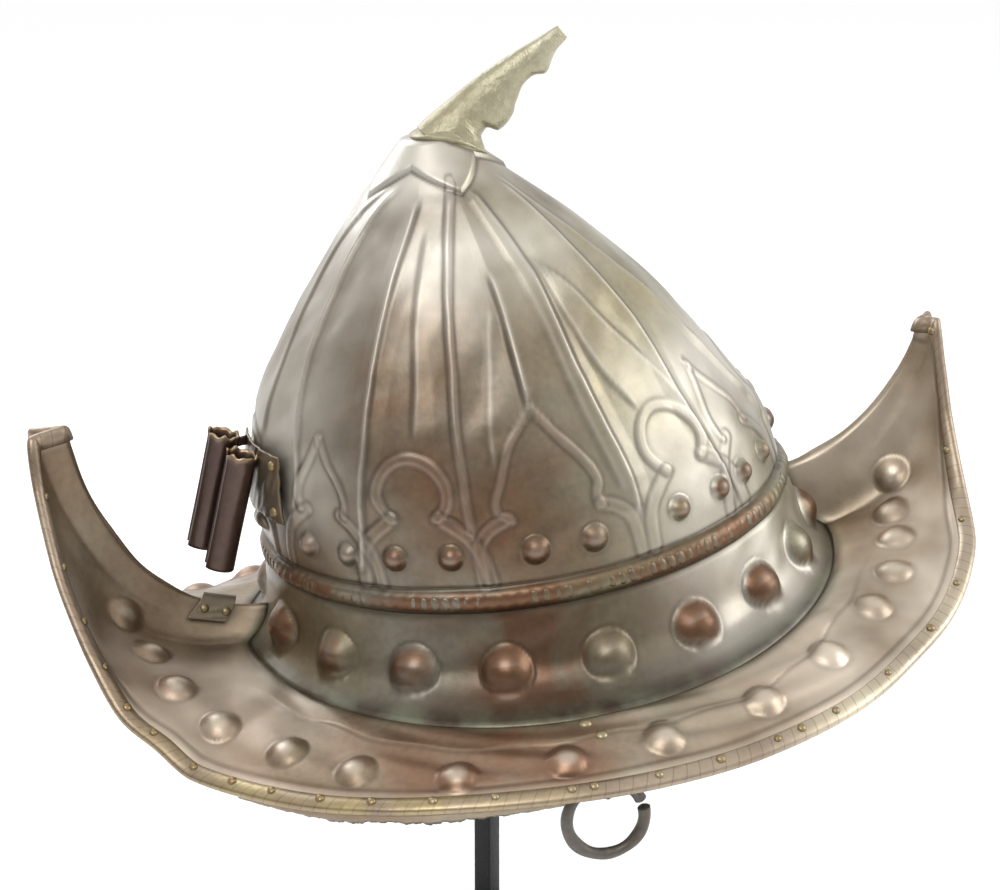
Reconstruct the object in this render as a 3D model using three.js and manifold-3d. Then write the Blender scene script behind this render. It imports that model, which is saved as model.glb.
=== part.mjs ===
// A morion helmet of beaten copper alloy, on a plain display stand.
// Millimetres, +Z up. The world's origin is the middle of the stand's underside.
// The helmet has a frame of its own: X towards the front peak, the base of the skull at Z 0,
// and the wearer's right side at -Y. That side is called near, and the other one far.
import * as THREE from 'three';
import { mergeVertices } from 'three/addons/utils/BufferGeometryUtils.js';
import Module from 'manifold-3d';

const wasm = await Module();
wasm.setup();

// Driving dimensions
const SHEET = 1.5;
const GAP = 0.3;
const SKULL_HEIGHT = 190;
const SKULL_LENGTH = 119.5;
const SKULL_WIDTH = 118;
const BRIM_REACH = 185;
const PEAK_RISE = 105;
const FAR_WIDTH_SHARE = 0.9;
const FAR_DROOP = 8;
const SEAM_SADDLE = 4.25;
const KEEL_FRONT = 27.5;
const KEEL_REAR = 10.5;
const KEEL_TURN = 5;
const BRIM_CROWN = 2.5;
const ROPE_HEIGHT = 38;
const ROPE_WIDTH = 6;
const ROPE_RISE = 2.6;
const BASE_BOSS_RADIUS = 10.2;
const BASE_BOSS_RISE = 6;
const BASE_BOSS_HEIGHT = 12;
const BRIM_BOSS_RADIUS = 7.4;
const BRIM_BOSS_RISE = 3.6;
const MOTIF_BOSS_RADIUS = 4.8;
const MOTIF_BOSS_RISE = 3.2;
const MOTIF_BOSS_HEIGHT = 55;
const MOTIF_RISE = 1.8;
const BINDING_WIDTH = 5;
const BINDING_SHEET = 0.7;
const FLAP_SHEET = 0.9;
const FLAP_WIDTH = 9;
const FLAP_DROP = 5;
const STALK_LENGTH = 59.5;
const STALK_HALF_WIDTH = 11.5;
const STALK_BACK = 11;
const STALK_SINK = 3;
const TUBE_LENGTH = 47;
const TUBE_RADIUS = 5.9;
const TUBE_SHEET = 0.9;
const TUBE_LEAN = 21;
const TUBE_SLIT = 50;
const PLATE_ANGLES = [155, 184];
const PLATE_HEIGHTS = [0.326, 0.463];
const WEB_HEIGHT = 4;
const WEB_SHEET = 1.2;
const PLATE_SHEET = 0.9;
const PATCH_ANGLES = [178, 180];
const PATCH_ALONG = [0.12, 0.85];
const PATCH_SHEET = 1;
const PATCH_LIFT = 1.2;
const RING_RADIUS = 14;
const RING_WIRE_RADIUS = 2.3;
const RING_OPENING = 14;
const RING_OPENING_TURN = 20;
const STAPLE_WIRE_RADIUS = 1.5;
const STAPLE_PLATE = [11, 8, 2.6];
const RING_ANGLE = 92.6;
const RING_ACROSS = 0.75;
const RING_DROP = 6.9;
const HELMET_PITCH = 7.96;
const AXIS_BEHIND = 22;
const HELMET_LIFT = 198;
const BASE_RADIUS = 85;
const BASE_THICKNESS = 14;
const BASE_EDGE = 2;
const POST_SIDE = 8;
const HEAD_RADIUS = 20;
const HEAD_HEIGHT = 24;

const rad = THREE.MathUtils.degToRad;
const mix = THREE.MathUtils.lerp;

// Sections of the skull from its foot to the apex. Each length is a share of a driving
// dimension: height of SKULL_HEIGHT, front and rear of SKULL_LENGTH, side of SKULL_WIDTH
// and saddle of SEAM_SADDLE.
const SKULL_SECTIONS = [
  { height: 0.000, front: 1.000, rear: 1.000, near: 1.000, far: 0.900, saddle: 1.00 },
  { height: 0.014, front: 0.962, rear: 0.958, near: 0.930, far: 0.862, saddle: 1.10 },
  { height: 0.038, front: 0.928, rear: 0.920, near: 0.845, far: 0.815, saddle: 1.30 },
  { height: 0.074, front: 0.908, rear: 0.902, near: 0.798, far: 0.790, saddle: 1.30 },
  { height: 0.137, front: 0.886, rear: 0.890, near: 0.770, far: 0.770, saddle: 1.00 },
  { height: 0.200, front: 0.858, rear: 0.872, near: 0.748, far: 0.748, saddle: 0.70 },
  { height: 0.326, front: 0.812, rear: 0.876, near: 0.728, far: 0.728, saddle: 0.50 },
  { height: 0.474, front: 0.684, rear: 0.842, near: 0.668, far: 0.668, saddle: 0.20 },
  { height: 0.632, front: 0.517, rear: 0.718, near: 0.543, far: 0.543, saddle: 0.00 },
  { height: 0.789, front: 0.300, rear: 0.533, near: 0.364, far: 0.364, saddle: 0.00 },
  { height: 0.921, front: 0.076, rear: 0.348, near: 0.191, far: 0.191, saddle: 0.00 },
  { height: 1.000, front: -0.061, rear: 0.228, near: 0.085, far: 0.085, saddle: 0.00 },
];

// The brim's edge, from the front tip to the rear tip. The angle is seen from above, reach is a
// share of BRIM_REACH and rise a share of PEAK_RISE.
const BRIM_EDGE = [
  { angle: 0.0, reach: 0.908, rise: 0.781 },
  { angle: 1.7, reach: 0.937, rise: 0.781 },
  { angle: 3.6, reach: 0.934, rise: 0.600 },
  { angle: 6.0, reach: 0.930, rise: 0.429 },
  { angle: 9.0, reach: 0.929, rise: 0.305 },
  { angle: 13.0, reach: 0.931, rise: 0.186 },
  { angle: 18.0, reach: 0.934, rise: 0.095 },
  { angle: 24.0, reach: 0.923, rise: 0.029 },
  { angle: 32.0, reach: 0.897, rise: -0.048 },
  { angle: 42.0, reach: 0.862, rise: -0.095 },
  { angle: 55.0, reach: 0.838, rise: -0.129 },
  { angle: 70.0, reach: 0.814, rise: -0.141 },
  { angle: 85.0, reach: 0.807, rise: -0.130 },
  { angle: 100.0, reach: 0.819, rise: -0.105 },
  { angle: 115.0, reach: 0.846, rise: -0.086 },
  { angle: 130.0, reach: 0.876, rise: -0.084 },
  { angle: 142.0, reach: 0.903, rise: -0.072 },
  { angle: 149.5, reach: 0.929, rise: -0.048 },
  { angle: 154.5, reach: 0.949, rise: 0.033 },
  { angle: 159.5, reach: 0.978, rise: 0.124 },
  { angle: 164.0, reach: 0.989, rise: 0.271 },
  { angle: 168.0, reach: 0.996, rise: 0.419 },
  { angle: 172.0, reach: 1.002, rise: 0.595 },
  { angle: 176.0, reach: 1.001, rise: 0.829 },
  { angle: 178.3, reach: 0.990, rise: 1.000 },
  { angle: 180.0, reach: 0.925, rise: 1.000 },
];

// Bosses at the skull's foot on one side, as angles from the front
const BASE_BOSS_ANGLES = [9.5, 29, 48, 67, 86, 106, 125, 144, 164];

// Bosses of the brim on one side: angle from the front, and place between seam and edge.
const BRIM_BOSSES = [
  { angle: 4, across: 0.48 },
  { angle: 9.5, across: 0.40 },
  { angle: 16.5, across: 0.40 },
  { angle: 26, across: 0.44 },
  { angle: 35.5, across: 0.44 },
  { angle: 50, across: 0.44 },
  { angle: 65.5, across: 0.51 },
  { angle: 83, across: 0.52 },
  { angle: 98, across: 0.58 },
  { angle: 113.5, across: 0.67 },
  { angle: 128.5, across: 0.63 },
  { angle: 140.5, across: 0.57 },
  { angle: 152.5, across: 0.57 },
  { angle: 162, across: 0.51 },
  { angle: 170.5, across: 0.48 },
  { angle: 176, across: 0.56 },
];

// Leaf and round-headed motifs: half width in degrees, height as a share of SKULL_HEIGHT.
const POINTED_MOTIF = [
  { height: 0.236, half: 12.5 },
  { height: 0.300, half: 13.5 },
  { height: 0.385, half: 8.0 },
  { height: 0.450, half: 11.0 },
  { height: 0.590, half: 7.8 },
  { height: 0.785, half: 0.6 },
];
const ROUND_MOTIF = [
  { height: 0.236, half: 12.0 },
  { height: 0.305, half: 12.5 },
  { height: 0.362, half: 5.0 },
  { height: 0.410, half: 9.0 },
  { height: 0.460, half: 8.0 },
  { height: 0.500, half: 2.5 },
];
const MOTIF_TURNS = [
  { turn: 0, rows: POINTED_MOTIF },
  { turn: 31.5, rows: ROUND_MOTIF },
  { turn: 58, rows: POINTED_MOTIF },
  { turn: 90, rows: ROUND_MOTIF },
];
const MOTIF_BOSS_TURN = 6.2;

// Stalk sections from its collar to the broken tip. Along, upper and lower are shares of
// STALK_LENGTH, half is a share of STALK_HALF_WIDTH. Lower jumps where the metal is torn.
const STALK_SECTIONS = [
  { along: -0.200, upper: 0.120, lower: -0.200, half: 0.85 },
  { along: -0.135, upper: 0.200, lower: -0.260, half: 1.00 },
  { along: 0.000, upper: 0.205, lower: -0.260, half: 0.92 },
  { along: 0.150, upper: 0.194, lower: -0.199, half: 0.80 },
  { along: 0.200, upper: 0.190, lower: -0.115, half: 0.68 },
  { along: 0.250, upper: 0.186, lower: -0.110, half: 0.62 },
  { along: 0.300, upper: 0.182, lower: -0.175, half: 0.60 },
  { along: 0.430, upper: 0.169, lower: -0.165, half: 0.52 },
  { along: 0.500, upper: 0.158, lower: -0.118, half: 0.46 },
  { along: 0.600, upper: 0.140, lower: -0.070, half: 0.40 },
  { along: 0.690, upper: 0.121, lower: -0.077, half: 0.34 },
  { along: 0.760, upper: 0.105, lower: -0.112, half: 0.30 },
  { along: 0.850, upper: 0.084, lower: -0.083, half: 0.25 },
  { along: 0.930, upper: 0.068, lower: -0.052, half: 0.20 },
  { along: 1.010, upper: 0.048, lower: -0.045, half: 0.10 },
];
const STALK_TURN = 34.5;

// The torn strip under the near edge: how far it hangs, as a share of FLAP_DROP.
const FLAP_SECTIONS = [
  { angle: 143, drop: 0.10 },
  { angle: 133, drop: 0.55 },
  { angle: 128, drop: 0.90 },
  { angle: 123, drop: 0.65 },
  { angle: 117, drop: 0.95 },
  { angle: 111, drop: 0.70 },
  { angle: 105, drop: 0.45 },
  { angle: 99, drop: 0.10 },
];

// A smooth curve through a table's rows that never overshoots them
function curveThrough(rows, key, value) {
  const xs = rows.map((row) => row[key]);
  const ys = rows.map((row) => row[value]);
  const slopes = xs.slice(1).map((x, i) => (ys[i + 1] - ys[i]) / (x - xs[i]));
  const tangents = xs.map((x, i) => {
    if (i === 0) return slopes[0];
    if (i === xs.length - 1) return slopes[i - 1];
    const before = slopes[i - 1];
    const after = slopes[i];
    return before * after <= 0 ? 0 : (2 * before * after) / (before + after);
  });
  return (x) => {
    let i = 0;
    while (i < xs.length - 2 && x > xs[i + 1]) i += 1;
    const span = xs[i + 1] - xs[i];
    const t = THREE.MathUtils.clamp((x - xs[i]) / span, 0, 1);
    const rise = ys[i + 1] - ys[i];
    const ease = t * t * (3 - 2 * t);
    const startPull = t * (1 - t) * (1 - t) * span * tangents[i];
    const endPull = t * t * (1 - t) * span * tangents[i + 1];
    return ys[i] + rise * ease + startPull - endPull;
  };
}

const skullFront = curveThrough(SKULL_SECTIONS, 'height', 'front');
const skullRear = curveThrough(SKULL_SECTIONS, 'height', 'rear');
const skullNear = curveThrough(SKULL_SECTIONS, 'height', 'near');
const skullFar = curveThrough(SKULL_SECTIONS, 'height', 'far');
const skullSaddle = curveThrough(SKULL_SECTIONS, 'height', 'saddle');
const edgeReach = curveThrough(BRIM_EDGE, 'angle', 'reach');
const edgeRise = curveThrough(BRIM_EDGE, 'angle', 'rise');

// Angles run from the front round the near side: 90 is the near side and 180 the rear
function skullBase(angle, share) {
  const front = skullFront(share) * SKULL_LENGTH;
  const rear = skullRear(share) * SKULL_LENGTH;
  const isFar = Math.sin(rad(angle)) < 0;
  const side = (isFar ? skullFar(share) : skullNear(share)) * SKULL_WIDTH;
  const x = (front - rear) / 2 + ((front + rear) / 2) * Math.cos(rad(angle));
  const y = -side * Math.sin(rad(angle));
  const lift = SEAM_SADDLE * skullSaddle(share) * (x / 100) ** 2;
  return new THREE.Vector3(x, y, share * SKULL_HEIGHT + lift);
}

function skullNormal(angle, share) {
  const low = Math.max(share - 0.004, 0);
  const high = Math.min(share + 0.004, 1);
  const along = skullBase(angle + 1, share).sub(skullBase(angle - 1, share));
  const up = skullBase(angle, high).sub(skullBase(angle, low));
  return up.cross(along).normalize();
}

function skullPoint(angle, height, offset) {
  const share = THREE.MathUtils.clamp(height / SKULL_HEIGHT, 0, 1);
  return skullBase(angle, share).addScaledVector(skullNormal(angle, share), offset);
}

// The brim is a fan of bent lines from the skull's foot to the edge. At a tip, the line's last
// pull lies at these shares of the way out and up.
const FRONT_CURL = { out: 0.84, up: 0.44 };
const REAR_CURL = { out: 0.93, up: 0.2 };
function brimCurl(angle) {
  const fromTip = Math.min(angle, 180 - angle);
  return THREE.MathUtils.smoothstep(1 - fromTip / 40, 0, 1);
}

function foldAngle(angle) {
  const turned = ((angle % 360) + 360) % 360;
  return turned > 180 ? 360 - turned : turned;
}

function brimEdge(angle) {
  const folded = foldAngle(angle);
  const reach = edgeReach(folded) * BRIM_REACH;
  const sideways = reach * Math.sin(rad(folded));
  const isFar = foldAngle(angle) !== ((angle % 360) + 360) % 360;
  const x = reach * Math.cos(rad(folded));
  const y = isFar ? sideways * FAR_WIDTH_SHARE : -sideways;
  const droop = isFar ? (FAR_DROOP * sideways) / BRIM_REACH / edgeReach(90) : 0;
  return new THREE.Vector3(x, y, edgeRise(folded) * PEAK_RISE - droop);
}

// The brim meets the skull at its foot, and climbs its wall to a keel at the front and rear
function seamShare(angle) {
  const folded = foldAngle(angle);
  const fromTip = Math.min(folded, 180 - folded);
  const near = Math.max(1 - fromTip / KEEL_TURN, 0);
  const rise = folded < 90 ? KEEL_FRONT : KEEL_REAR;
  return (rise * near * near) / SKULL_HEIGHT;
}

function brimMiddle(angle, across) {
  const seam = skullBase(angle, seamShare(angle));
  const edge = brimEdge(angle);
  const curl = brimCurl(foldAngle(angle));
  const crown = BRIM_CROWN * (1 - curl);
  const reach = edge.clone().sub(seam);
  const bend = (sideways, upward) => new THREE.Vector3(
    seam.x + reach.x * sideways,
    seam.y + reach.y * sideways,
    seam.z + reach.z * upward + crown,
  );
  const tip = foldAngle(angle) < 90 ? FRONT_CURL : REAR_CURL;
  const first = bend(mix(0.33, 0.40, curl), mix(0.33, 0.04, curl));
  const second = bend(mix(0.67, tip.out, curl), mix(0.67, tip.up, curl));
  return new THREE.CubicBezierCurve3(seam, first, second, edge).getPoint(across);
}

function brimNormal(angle, across) {
  const low = Math.max(across - 0.02, 0);
  const high = Math.min(across + 0.02, 1);
  const along = brimMiddle(angle + 0.4, across).sub(brimMiddle(angle - 0.4, across));
  const outward = brimMiddle(angle, high).sub(brimMiddle(angle, low));
  const normal = along.cross(outward).normalize();
  return normal;
}

function brimPoint(angle, across, offset) {
  return brimMiddle(angle, across).addScaledVector(brimNormal(angle, across), offset);
}

// Stations round the brim: the edge table's own angles, with none further apart than a step
function brimStations(step) {
  const near = [];
  BRIM_EDGE.slice(1).forEach((row, i) => {
    const start = BRIM_EDGE[i].angle;
    const parts = Math.ceil((row.angle - start) / step);
    for (let k = 0; k < parts; k += 1) near.push(mix(start, row.angle, k / parts));
  });
  const far = near.slice(1).reverse().map((angle) => 360 - angle);
  return [...near, 180, ...far];
}

// Mesh helpers
function meshFrom(points, faces) {
  const geometry = new THREE.BufferGeometry();
  const flat = points.flatMap((point) => [point.x, point.y, point.z]);
  geometry.setAttribute('position', new THREE.Float32BufferAttribute(flat, 3));
  geometry.setIndex(faces.flat());
  return outwards(geometry);
}

function outwards(geometry) {
  const position = geometry.getAttribute('position');
  const index = geometry.getIndex();
  const corner = (i) => new THREE.Vector3().fromBufferAttribute(position, index.getX(i));
  let volume = 0;
  for (let i = 0; i < index.count; i += 3) {
    volume += corner(i).dot(corner(i + 1).cross(corner(i + 2)));
  }
  if (volume < 0) {
    for (let i = 0; i < index.count; i += 3) {
      const first = index.getX(i);
      index.setX(i, index.getX(i + 1));
      index.setX(i + 1, first);
    }
  }
  return geometry;
}

// Rings of points joined one to the next, either round in a loop or closed by two end fans
function loft(rings, ends) {
  const size = rings[0].length;
  const points = rings.flat();
  const faces = [];
  const last = ends ? rings.length - 1 : rings.length;
  for (let i = 0; i < last; i += 1) {
    const next = (i + 1) % rings.length;
    for (let k = 0; k < size; k += 1) {
      const turn = (k + 1) % size;
      const a = i * size + k;
      const b = i * size + turn;
      const c = next * size + k;
      const d = next * size + turn;
      faces.push([a, b, d], [a, d, c]);
    }
  }
  if (ends) {
    const first = points.push(ends[0]) - 1;
    const second = points.push(ends[1]) - 1;
    const top = (rings.length - 1) * size;
    for (let k = 0; k < size; k += 1) {
      const turn = (k + 1) % size;
      faces.push([first, turn, k], [second, top + k, top + turn]);
    }
  }
  return meshFrom(points, faces);
}

function middle(ring) {
  const sum = ring.reduce((total, point) => total.add(point), new THREE.Vector3());
  return sum.divideScalar(ring.length);
}

function cappedLoft(rings) {
  return loft(rings, [middle(rings[0]), middle(rings[rings.length - 1])]);
}

function toSolid(geometry) {
  const bare = geometry.clone();
  bare.deleteAttribute('normal');
  bare.deleteAttribute('uv');
  const merged = mergeVertices(bare, 1e-4);
  return new wasm.Manifold(new wasm.Mesh({
    numProp: 3,
    vertProperties: new Float32Array(merged.getAttribute('position').array),
    triVerts: new Uint32Array(merged.getIndex().array),
  }));
}

function toGeometry(solid) {
  const mesh = solid.getMesh();
  const geometry = new THREE.BufferGeometry();
  geometry.setAttribute('position', new THREE.BufferAttribute(mesh.vertProperties, 3));
  geometry.setIndex(new THREE.BufferAttribute(mesh.triVerts, 1));
  return geometry;
}

// Slivers that a union leaves are merged away within this distance
const SLIVER = 0.25;
function fuse(solids) {
  const whole = solids.reduce((total, solid) => total.add(solid)).simplify(SLIVER);
  return whole.decompose().sort((a, b) => b.volume() - a.volume())[0];
}

// A low dome on a surface: the surface gives a point and its outward direction
const BOSS_SIDES = 6;
const BOSS_ROOT = 1;
function boss(point, normal, radius, rise) {
  const spin = new THREE.Quaternion().setFromUnitVectors(new THREE.Vector3(0, 0, 1), normal);
  const ring = (share, height) => Array.from({ length: BOSS_SIDES }, (_, k) => {
    const turn = (k / BOSS_SIDES) * Math.PI * 2;
    const flat = new THREE.Vector3(Math.cos(turn), Math.sin(turn), 0).multiplyScalar(share * radius);
    return flat.setZ(height).applyQuaternion(spin).add(point);
  });
  const top = new THREE.Vector3(0, 0, rise).applyQuaternion(spin).add(point);
  const foot = new THREE.Vector3(0, 0, -BOSS_ROOT).applyQuaternion(spin).add(point);
  const rings = [ring(1, -BOSS_ROOT), ring(0.62, rise * 0.84)];
  return toSolid(loft(rings, [foot, top]));
}

function skullBoss(angle, height, radius, rise) {
  const point = skullPoint(angle, height, 0);
  const normal = skullNormal(angle, height / SKULL_HEIGHT);
  return boss(point, normal, radius, rise);
}

// A raised patch that follows the skull, with an outline from a table of half widths
const PATCH_COLUMNS = [-1, -0.4, 0.4, 1];
const PATCH_ROOT = 0.9;
function raisedPatch(turn, rows) {
  const skin = (offset) => rows.map((row) => PATCH_COLUMNS.map((share) => (
    skullPoint(turn + share * row.half, row.height * SKULL_HEIGHT, offset)
  )));
  const top = skin(MOTIF_RISE);
  const bottom = skin(-PATCH_ROOT);
  const rings = top.map((row, i) => [...row, ...bottom[i].slice().reverse()]);
  return toSolid(cappedLoft(rings));
}

const SKULL_COLUMNS = 36;
const ROPE_ROWS = [
  { across: -1.0, rise: 0.0 },
  { across: -0.4, rise: 1.0 },
  { across: 0.4, rise: 1.0 },
  { across: 1.0, rise: 0.0 },
];
const LOW_ROWS = [0, 0.012, 0.035, 0.08];
const HIGH_ROWS = [0.33, 0.42, 0.52, 0.62, 0.72, 0.81, 0.89, 0.955, 1];
const INNER_ROWS = [0, 0.012, 0.035, 0.08, 0.16, 0.33, 0.52, 0.7, 0.84, 0.94, 1];

function skullRing(share, offset) {
  return Array.from({ length: SKULL_COLUMNS }, (_, k) => (
    skullPoint((k / SKULL_COLUMNS) * 360, share * SKULL_HEIGHT, offset)
  ));
}

function skullTop(offset) {
  return middle(skullRing(1, 0)).add(new THREE.Vector3(0, 0, SHEET * 1.5 + offset));
}

function skullSkin() {
  const rope = ROPE_ROWS.map((row) => (
    skullRing((ROPE_HEIGHT + (row.across * ROPE_WIDTH) / 2) / SKULL_HEIGHT, row.rise * ROPE_RISE)
  ));
  const low = LOW_ROWS.map((share) => skullRing(share, 0));
  const high = HIGH_ROWS.map((share) => skullRing(share, 0));
  return [...low, ...rope, ...high];
}

function skullSolid() {
  const outer = skullSkin();
  const inner = INNER_ROWS.map((share) => skullRing(share, -SHEET)).reverse();
  const shell = loft([...inner, ...outer], [skullTop(-SHEET), skullTop(0)]);
  const parts = [toSolid(shell)];
  MOTIF_TURNS.forEach(({ turn, rows }) => {
    const sides = turn === 0 ? [90, 270] : turn === 90 ? [0, 180] : null;
    const places = sides ?? [90 - turn, 90 + turn, 270 - turn, 270 + turn];
    places.forEach((place) => {
      parts.push(raisedPatch(place, rows));
      [-1, 1].forEach((sign) => {
        const angle = place + sign * MOTIF_BOSS_TURN;
        parts.push(skullBoss(angle, MOTIF_BOSS_HEIGHT, MOTIF_BOSS_RADIUS, MOTIF_BOSS_RISE));
      });
    });
  });
  BASE_BOSS_ANGLES.flatMap((angle) => [angle, 360 - angle]).forEach((angle) => {
    parts.push(skullBoss(angle, BASE_BOSS_HEIGHT, BASE_BOSS_RADIUS, BASE_BOSS_RISE));
  });
  return fuse(parts);
}

// Brim, with its inner edge one gap away from the skull's foot
const BRIM_STEP = 9;
const BRIM_ROWS = [0, 0.35, 0.7];
function brimAcross(angle, share) {
  const run = brimMiddle(angle, 0).distanceTo(brimMiddle(angle, 0.05)) / 0.05;
  const start = (GAP + SHEET / 5) / run;
  return start + (1 - start) * share;
}

function brimSheet(above, below) {
  const rings = brimStations(BRIM_STEP).map((angle) => {
    const rim = edgeFrame(angle);
    const rows = BRIM_ROWS.map((share) => (offset) => brimPoint(angle, brimAcross(angle, share), offset));
    rows.push((offset) => rim(BINDING_WIDTH, offset));
    rows.push((offset) => rim(0, offset));
    return [
      ...rows.map((row) => row(above)),
      ...rows.slice().reverse().map((row) => row(-below)),
    ];
  });
  return toSolid(loft(rings));
}

function brimSolid() {
  const parts = [brimSheet(SHEET / 2, SHEET / 2)];
  BRIM_BOSSES.forEach(({ angle, across }) => {
    [angle, 360 - angle].forEach((place) => {
      const point = brimPoint(place, across, SHEET / 2 - 0.1);
      const normal = brimNormal(place, across);
      parts.push(boss(point, normal, BRIM_BOSS_RADIUS, BRIM_BOSS_RISE));
    });
  });
  return fuse(parts);
}

// Brass strip folded over the brim's edge. Its section follows the brim's outermost row.
// Beyond the edge, lengths are square to it, down to a slant of this sine near the tips.
const EDGE_SLANT = 0.25;
function edgeFrame(angle) {
  const inner = brimAcross(angle, BRIM_ROWS[BRIM_ROWS.length - 1]);
  const tangent = brimMiddle(angle + 0.4, 1).sub(brimMiddle(angle - 0.4, 1)).normalize();
  return (across, up) => {
    const start = brimPoint(angle, 1, up);
    const inward = brimPoint(angle, inner, up).sub(start).normalize();
    const slant = Math.max(inward.clone().cross(tangent).length(), EDGE_SLANT);
    return start.addScaledVector(inward, across < 0 ? across / slant : across);
  };
}

function bindingSolid() {
  const inside = SHEET / 2 + GAP * 2;
  const outside = inside + BINDING_SHEET;
  const fold = -GAP * 2;
  const nose = fold - BINDING_SHEET;
  const rings = brimStations(BRIM_STEP).map((angle) => {
    const at = edgeFrame(angle);
    return [
      at(BINDING_WIDTH, inside),
      at(fold, inside),
      at(fold, -inside),
      at(BINDING_WIDTH, -inside),
      at(BINDING_WIDTH, -outside),
      at(0, -outside),
      at(nose, 0),
      at(0, outside),
      at(BINDING_WIDTH, outside),
    ];
  });
  return toSolid(loft(rings));
}

function flapSolid() {
  const top = -(SHEET / 2 + GAP * 4 + BINDING_SHEET);
  const hangRows = [...FLAP_SECTIONS].reverse();
  const hang = curveThrough(hangRows, 'angle', 'drop');
  const ends = [hangRows[0].angle, hangRows[hangRows.length - 1].angle];
  const angles = brimStations(BRIM_STEP).filter((angle) => angle > ends[0] && angle < ends[1]);
  const rings = angles.map((angle) => {
    const at = edgeFrame(angle);
    const drop = hang(angle) * FLAP_DROP;
    return [
      at(FLAP_WIDTH, top),
      at(0, top),
      at(0, top - drop - FLAP_SHEET),
      at(FLAP_WIDTH * 0.35, top - drop - FLAP_SHEET),
      at(FLAP_WIDTH, top - FLAP_SHEET),
    ];
  });
  return toSolid(cappedLoft(rings));
}

// Cast stalk whose collar fits over the apex with a clearance
function stalkSolid() {
  const ahead = new THREE.Vector3(Math.sin(rad(90 - STALK_TURN)), 0, Math.cos(rad(90 - STALK_TURN)));
  const above = new THREE.Vector3(-Math.sin(rad(STALK_TURN)), 0, Math.cos(rad(STALK_TURN)));
  const foot = new THREE.Vector3(-STALK_BACK, 0, SKULL_HEIGHT - STALK_SINK);
  const rings = STALK_SECTIONS.map((row) => {
    const upper = row.upper * STALK_LENGTH;
    const lower = row.lower * STALK_LENGTH;
    const half = row.half * STALK_HALF_WIDTH;
    const sides = 10;
    return Array.from({ length: sides }, (_, k) => {
      const turn = (k / sides) * Math.PI * 2;
      const up = (upper + lower) / 2 + ((upper - lower) / 2) * Math.cos(turn);
      return foot.clone()
        .addScaledVector(ahead, row.along * STALK_LENGTH)
        .addScaledVector(above, up)
        .add(new THREE.Vector3(0, half * Math.sin(turn), 0));
    });
  });
  return toSolid(cappedLoft(rings)).subtract(skullCore(HIGH_ROWS, GAP));
}

// The skull's outer form as a full body, grown by a clearance or shrunk by a wall
function skullCore(shares, offset) {
  const rings = shares.filter((share) => share > 0.6).map((share) => skullRing(share, offset));
  return toSolid(loft(rings, [middle(rings[0]), skullTop(offset)]));
}

// Plume tubes behind the skull. Height is a share of SKULL_HEIGHT, and stand is how far the
// top rim's middle stands off the skull, as a share of TUBE_RADIUS.
const TUBES = [
  { angle: 168, height: 0.452, stand: 1.42 },
  { angle: 178, height: 0.470, stand: 2.05 },
];
const tubeTop = ({ angle, height, stand }) => (
  skullPoint(angle, height * SKULL_HEIGHT, stand * TUBE_RADIUS)
);
const TUBE_SIDES = 11;
function tubeSolid(tube) {
  const top = tubeTop(tube);
  const lean = new THREE.Euler(0, rad(TUBE_LEAN), 0);
  const place = (turn, radius, along) => {
    const local = new THREE.Vector3(Math.cos(turn) * radius, Math.sin(turn) * radius, -along);
    return local.applyEuler(lean).add(top);
  };
  const first = rad(180 + TUBE_SLIT / 2);
  const sweep = rad(360 - TUBE_SLIT);
  const turns = Array.from({ length: TUBE_SIDES + 1 }, (_, k) => first + (sweep * k) / TUBE_SIDES);
  const rings = [0, TUBE_LENGTH].map((along) => [
    ...turns.map((turn) => place(turn, TUBE_RADIUS, along)),
    ...turns.slice().reverse().map((turn) => place(turn, TUBE_RADIUS - TUBE_SHEET, along)),
  ]);
  return toSolid(sheetStrip(rings, TUBE_SIDES + 1));
}

// A bent sheet between two sections. Each section lists one face and then the other, reversed.
function sheetStrip(rings, half) {
  const size = half * 2;
  const points = rings.flat();
  const faces = [];
  for (let i = 0; i < rings.length - 1; i += 1) {
    for (let k = 0; k < size; k += 1) {
      const turn = (k + 1) % size;
      const a = i * size + k;
      const b = i * size + turn;
      faces.push([a, b, b + size], [a, b + size, a + size]);
    }
  }
  const end = (rings.length - 1) * size;
  for (let k = 0; k < half - 1; k += 1) {
    const across = size - 1 - k;
    faces.push([k, across, k + 1], [k + 1, across, across - 1]);
    faces.push([end + k, end + k + 1, end + across], [end + k + 1, end + across - 1, end + across]);
  }
  return meshFrom(points, faces);
}

const steps = (from, to, count) => Array.from({ length: count + 1 }, (_, i) => mix(from, to, i / count));

const PLATE_LOW = MOTIF_RISE + GAP + 0.1;
function plateSolid() {
  const angles = steps(...PLATE_ANGLES, 7);
  const rings = steps(...PLATE_HEIGHTS, 4).map((height) => [
    ...angles.map((angle) => skullPoint(angle, height * SKULL_HEIGHT, PLATE_LOW + PLATE_SHEET)),
    ...angles.slice().reverse().map((angle) => skullPoint(angle, height * SKULL_HEIGHT, PLATE_LOW)),
  ]);
  return toSolid(sheetStrip(rings, angles.length));
}

function webSolid(tube) {
  const height = PLATE_HEIGHTS[1] * SKULL_HEIGHT - WEB_HEIGHT / 2;
  const start = skullPoint(tube.angle, height, PLATE_LOW + PLATE_SHEET / 2);
  const middleLine = tubeTop(tube);
  middleLine.x -= (middleLine.z - start.z) * Math.tan(rad(TUBE_LEAN));
  middleLine.z = start.z;
  const run = middleLine.sub(start);
  const length = run.length() - TUBE_RADIUS + TUBE_SHEET / 2;
  const web = new THREE.BoxGeometry(length, WEB_SHEET, WEB_HEIGHT);
  web.translate(length / 2, 0, 0);
  web.rotateZ(Math.atan2(run.y, run.x));
  web.translate(start.x, start.y, start.z);
  return toSolid(web);
}

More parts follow.
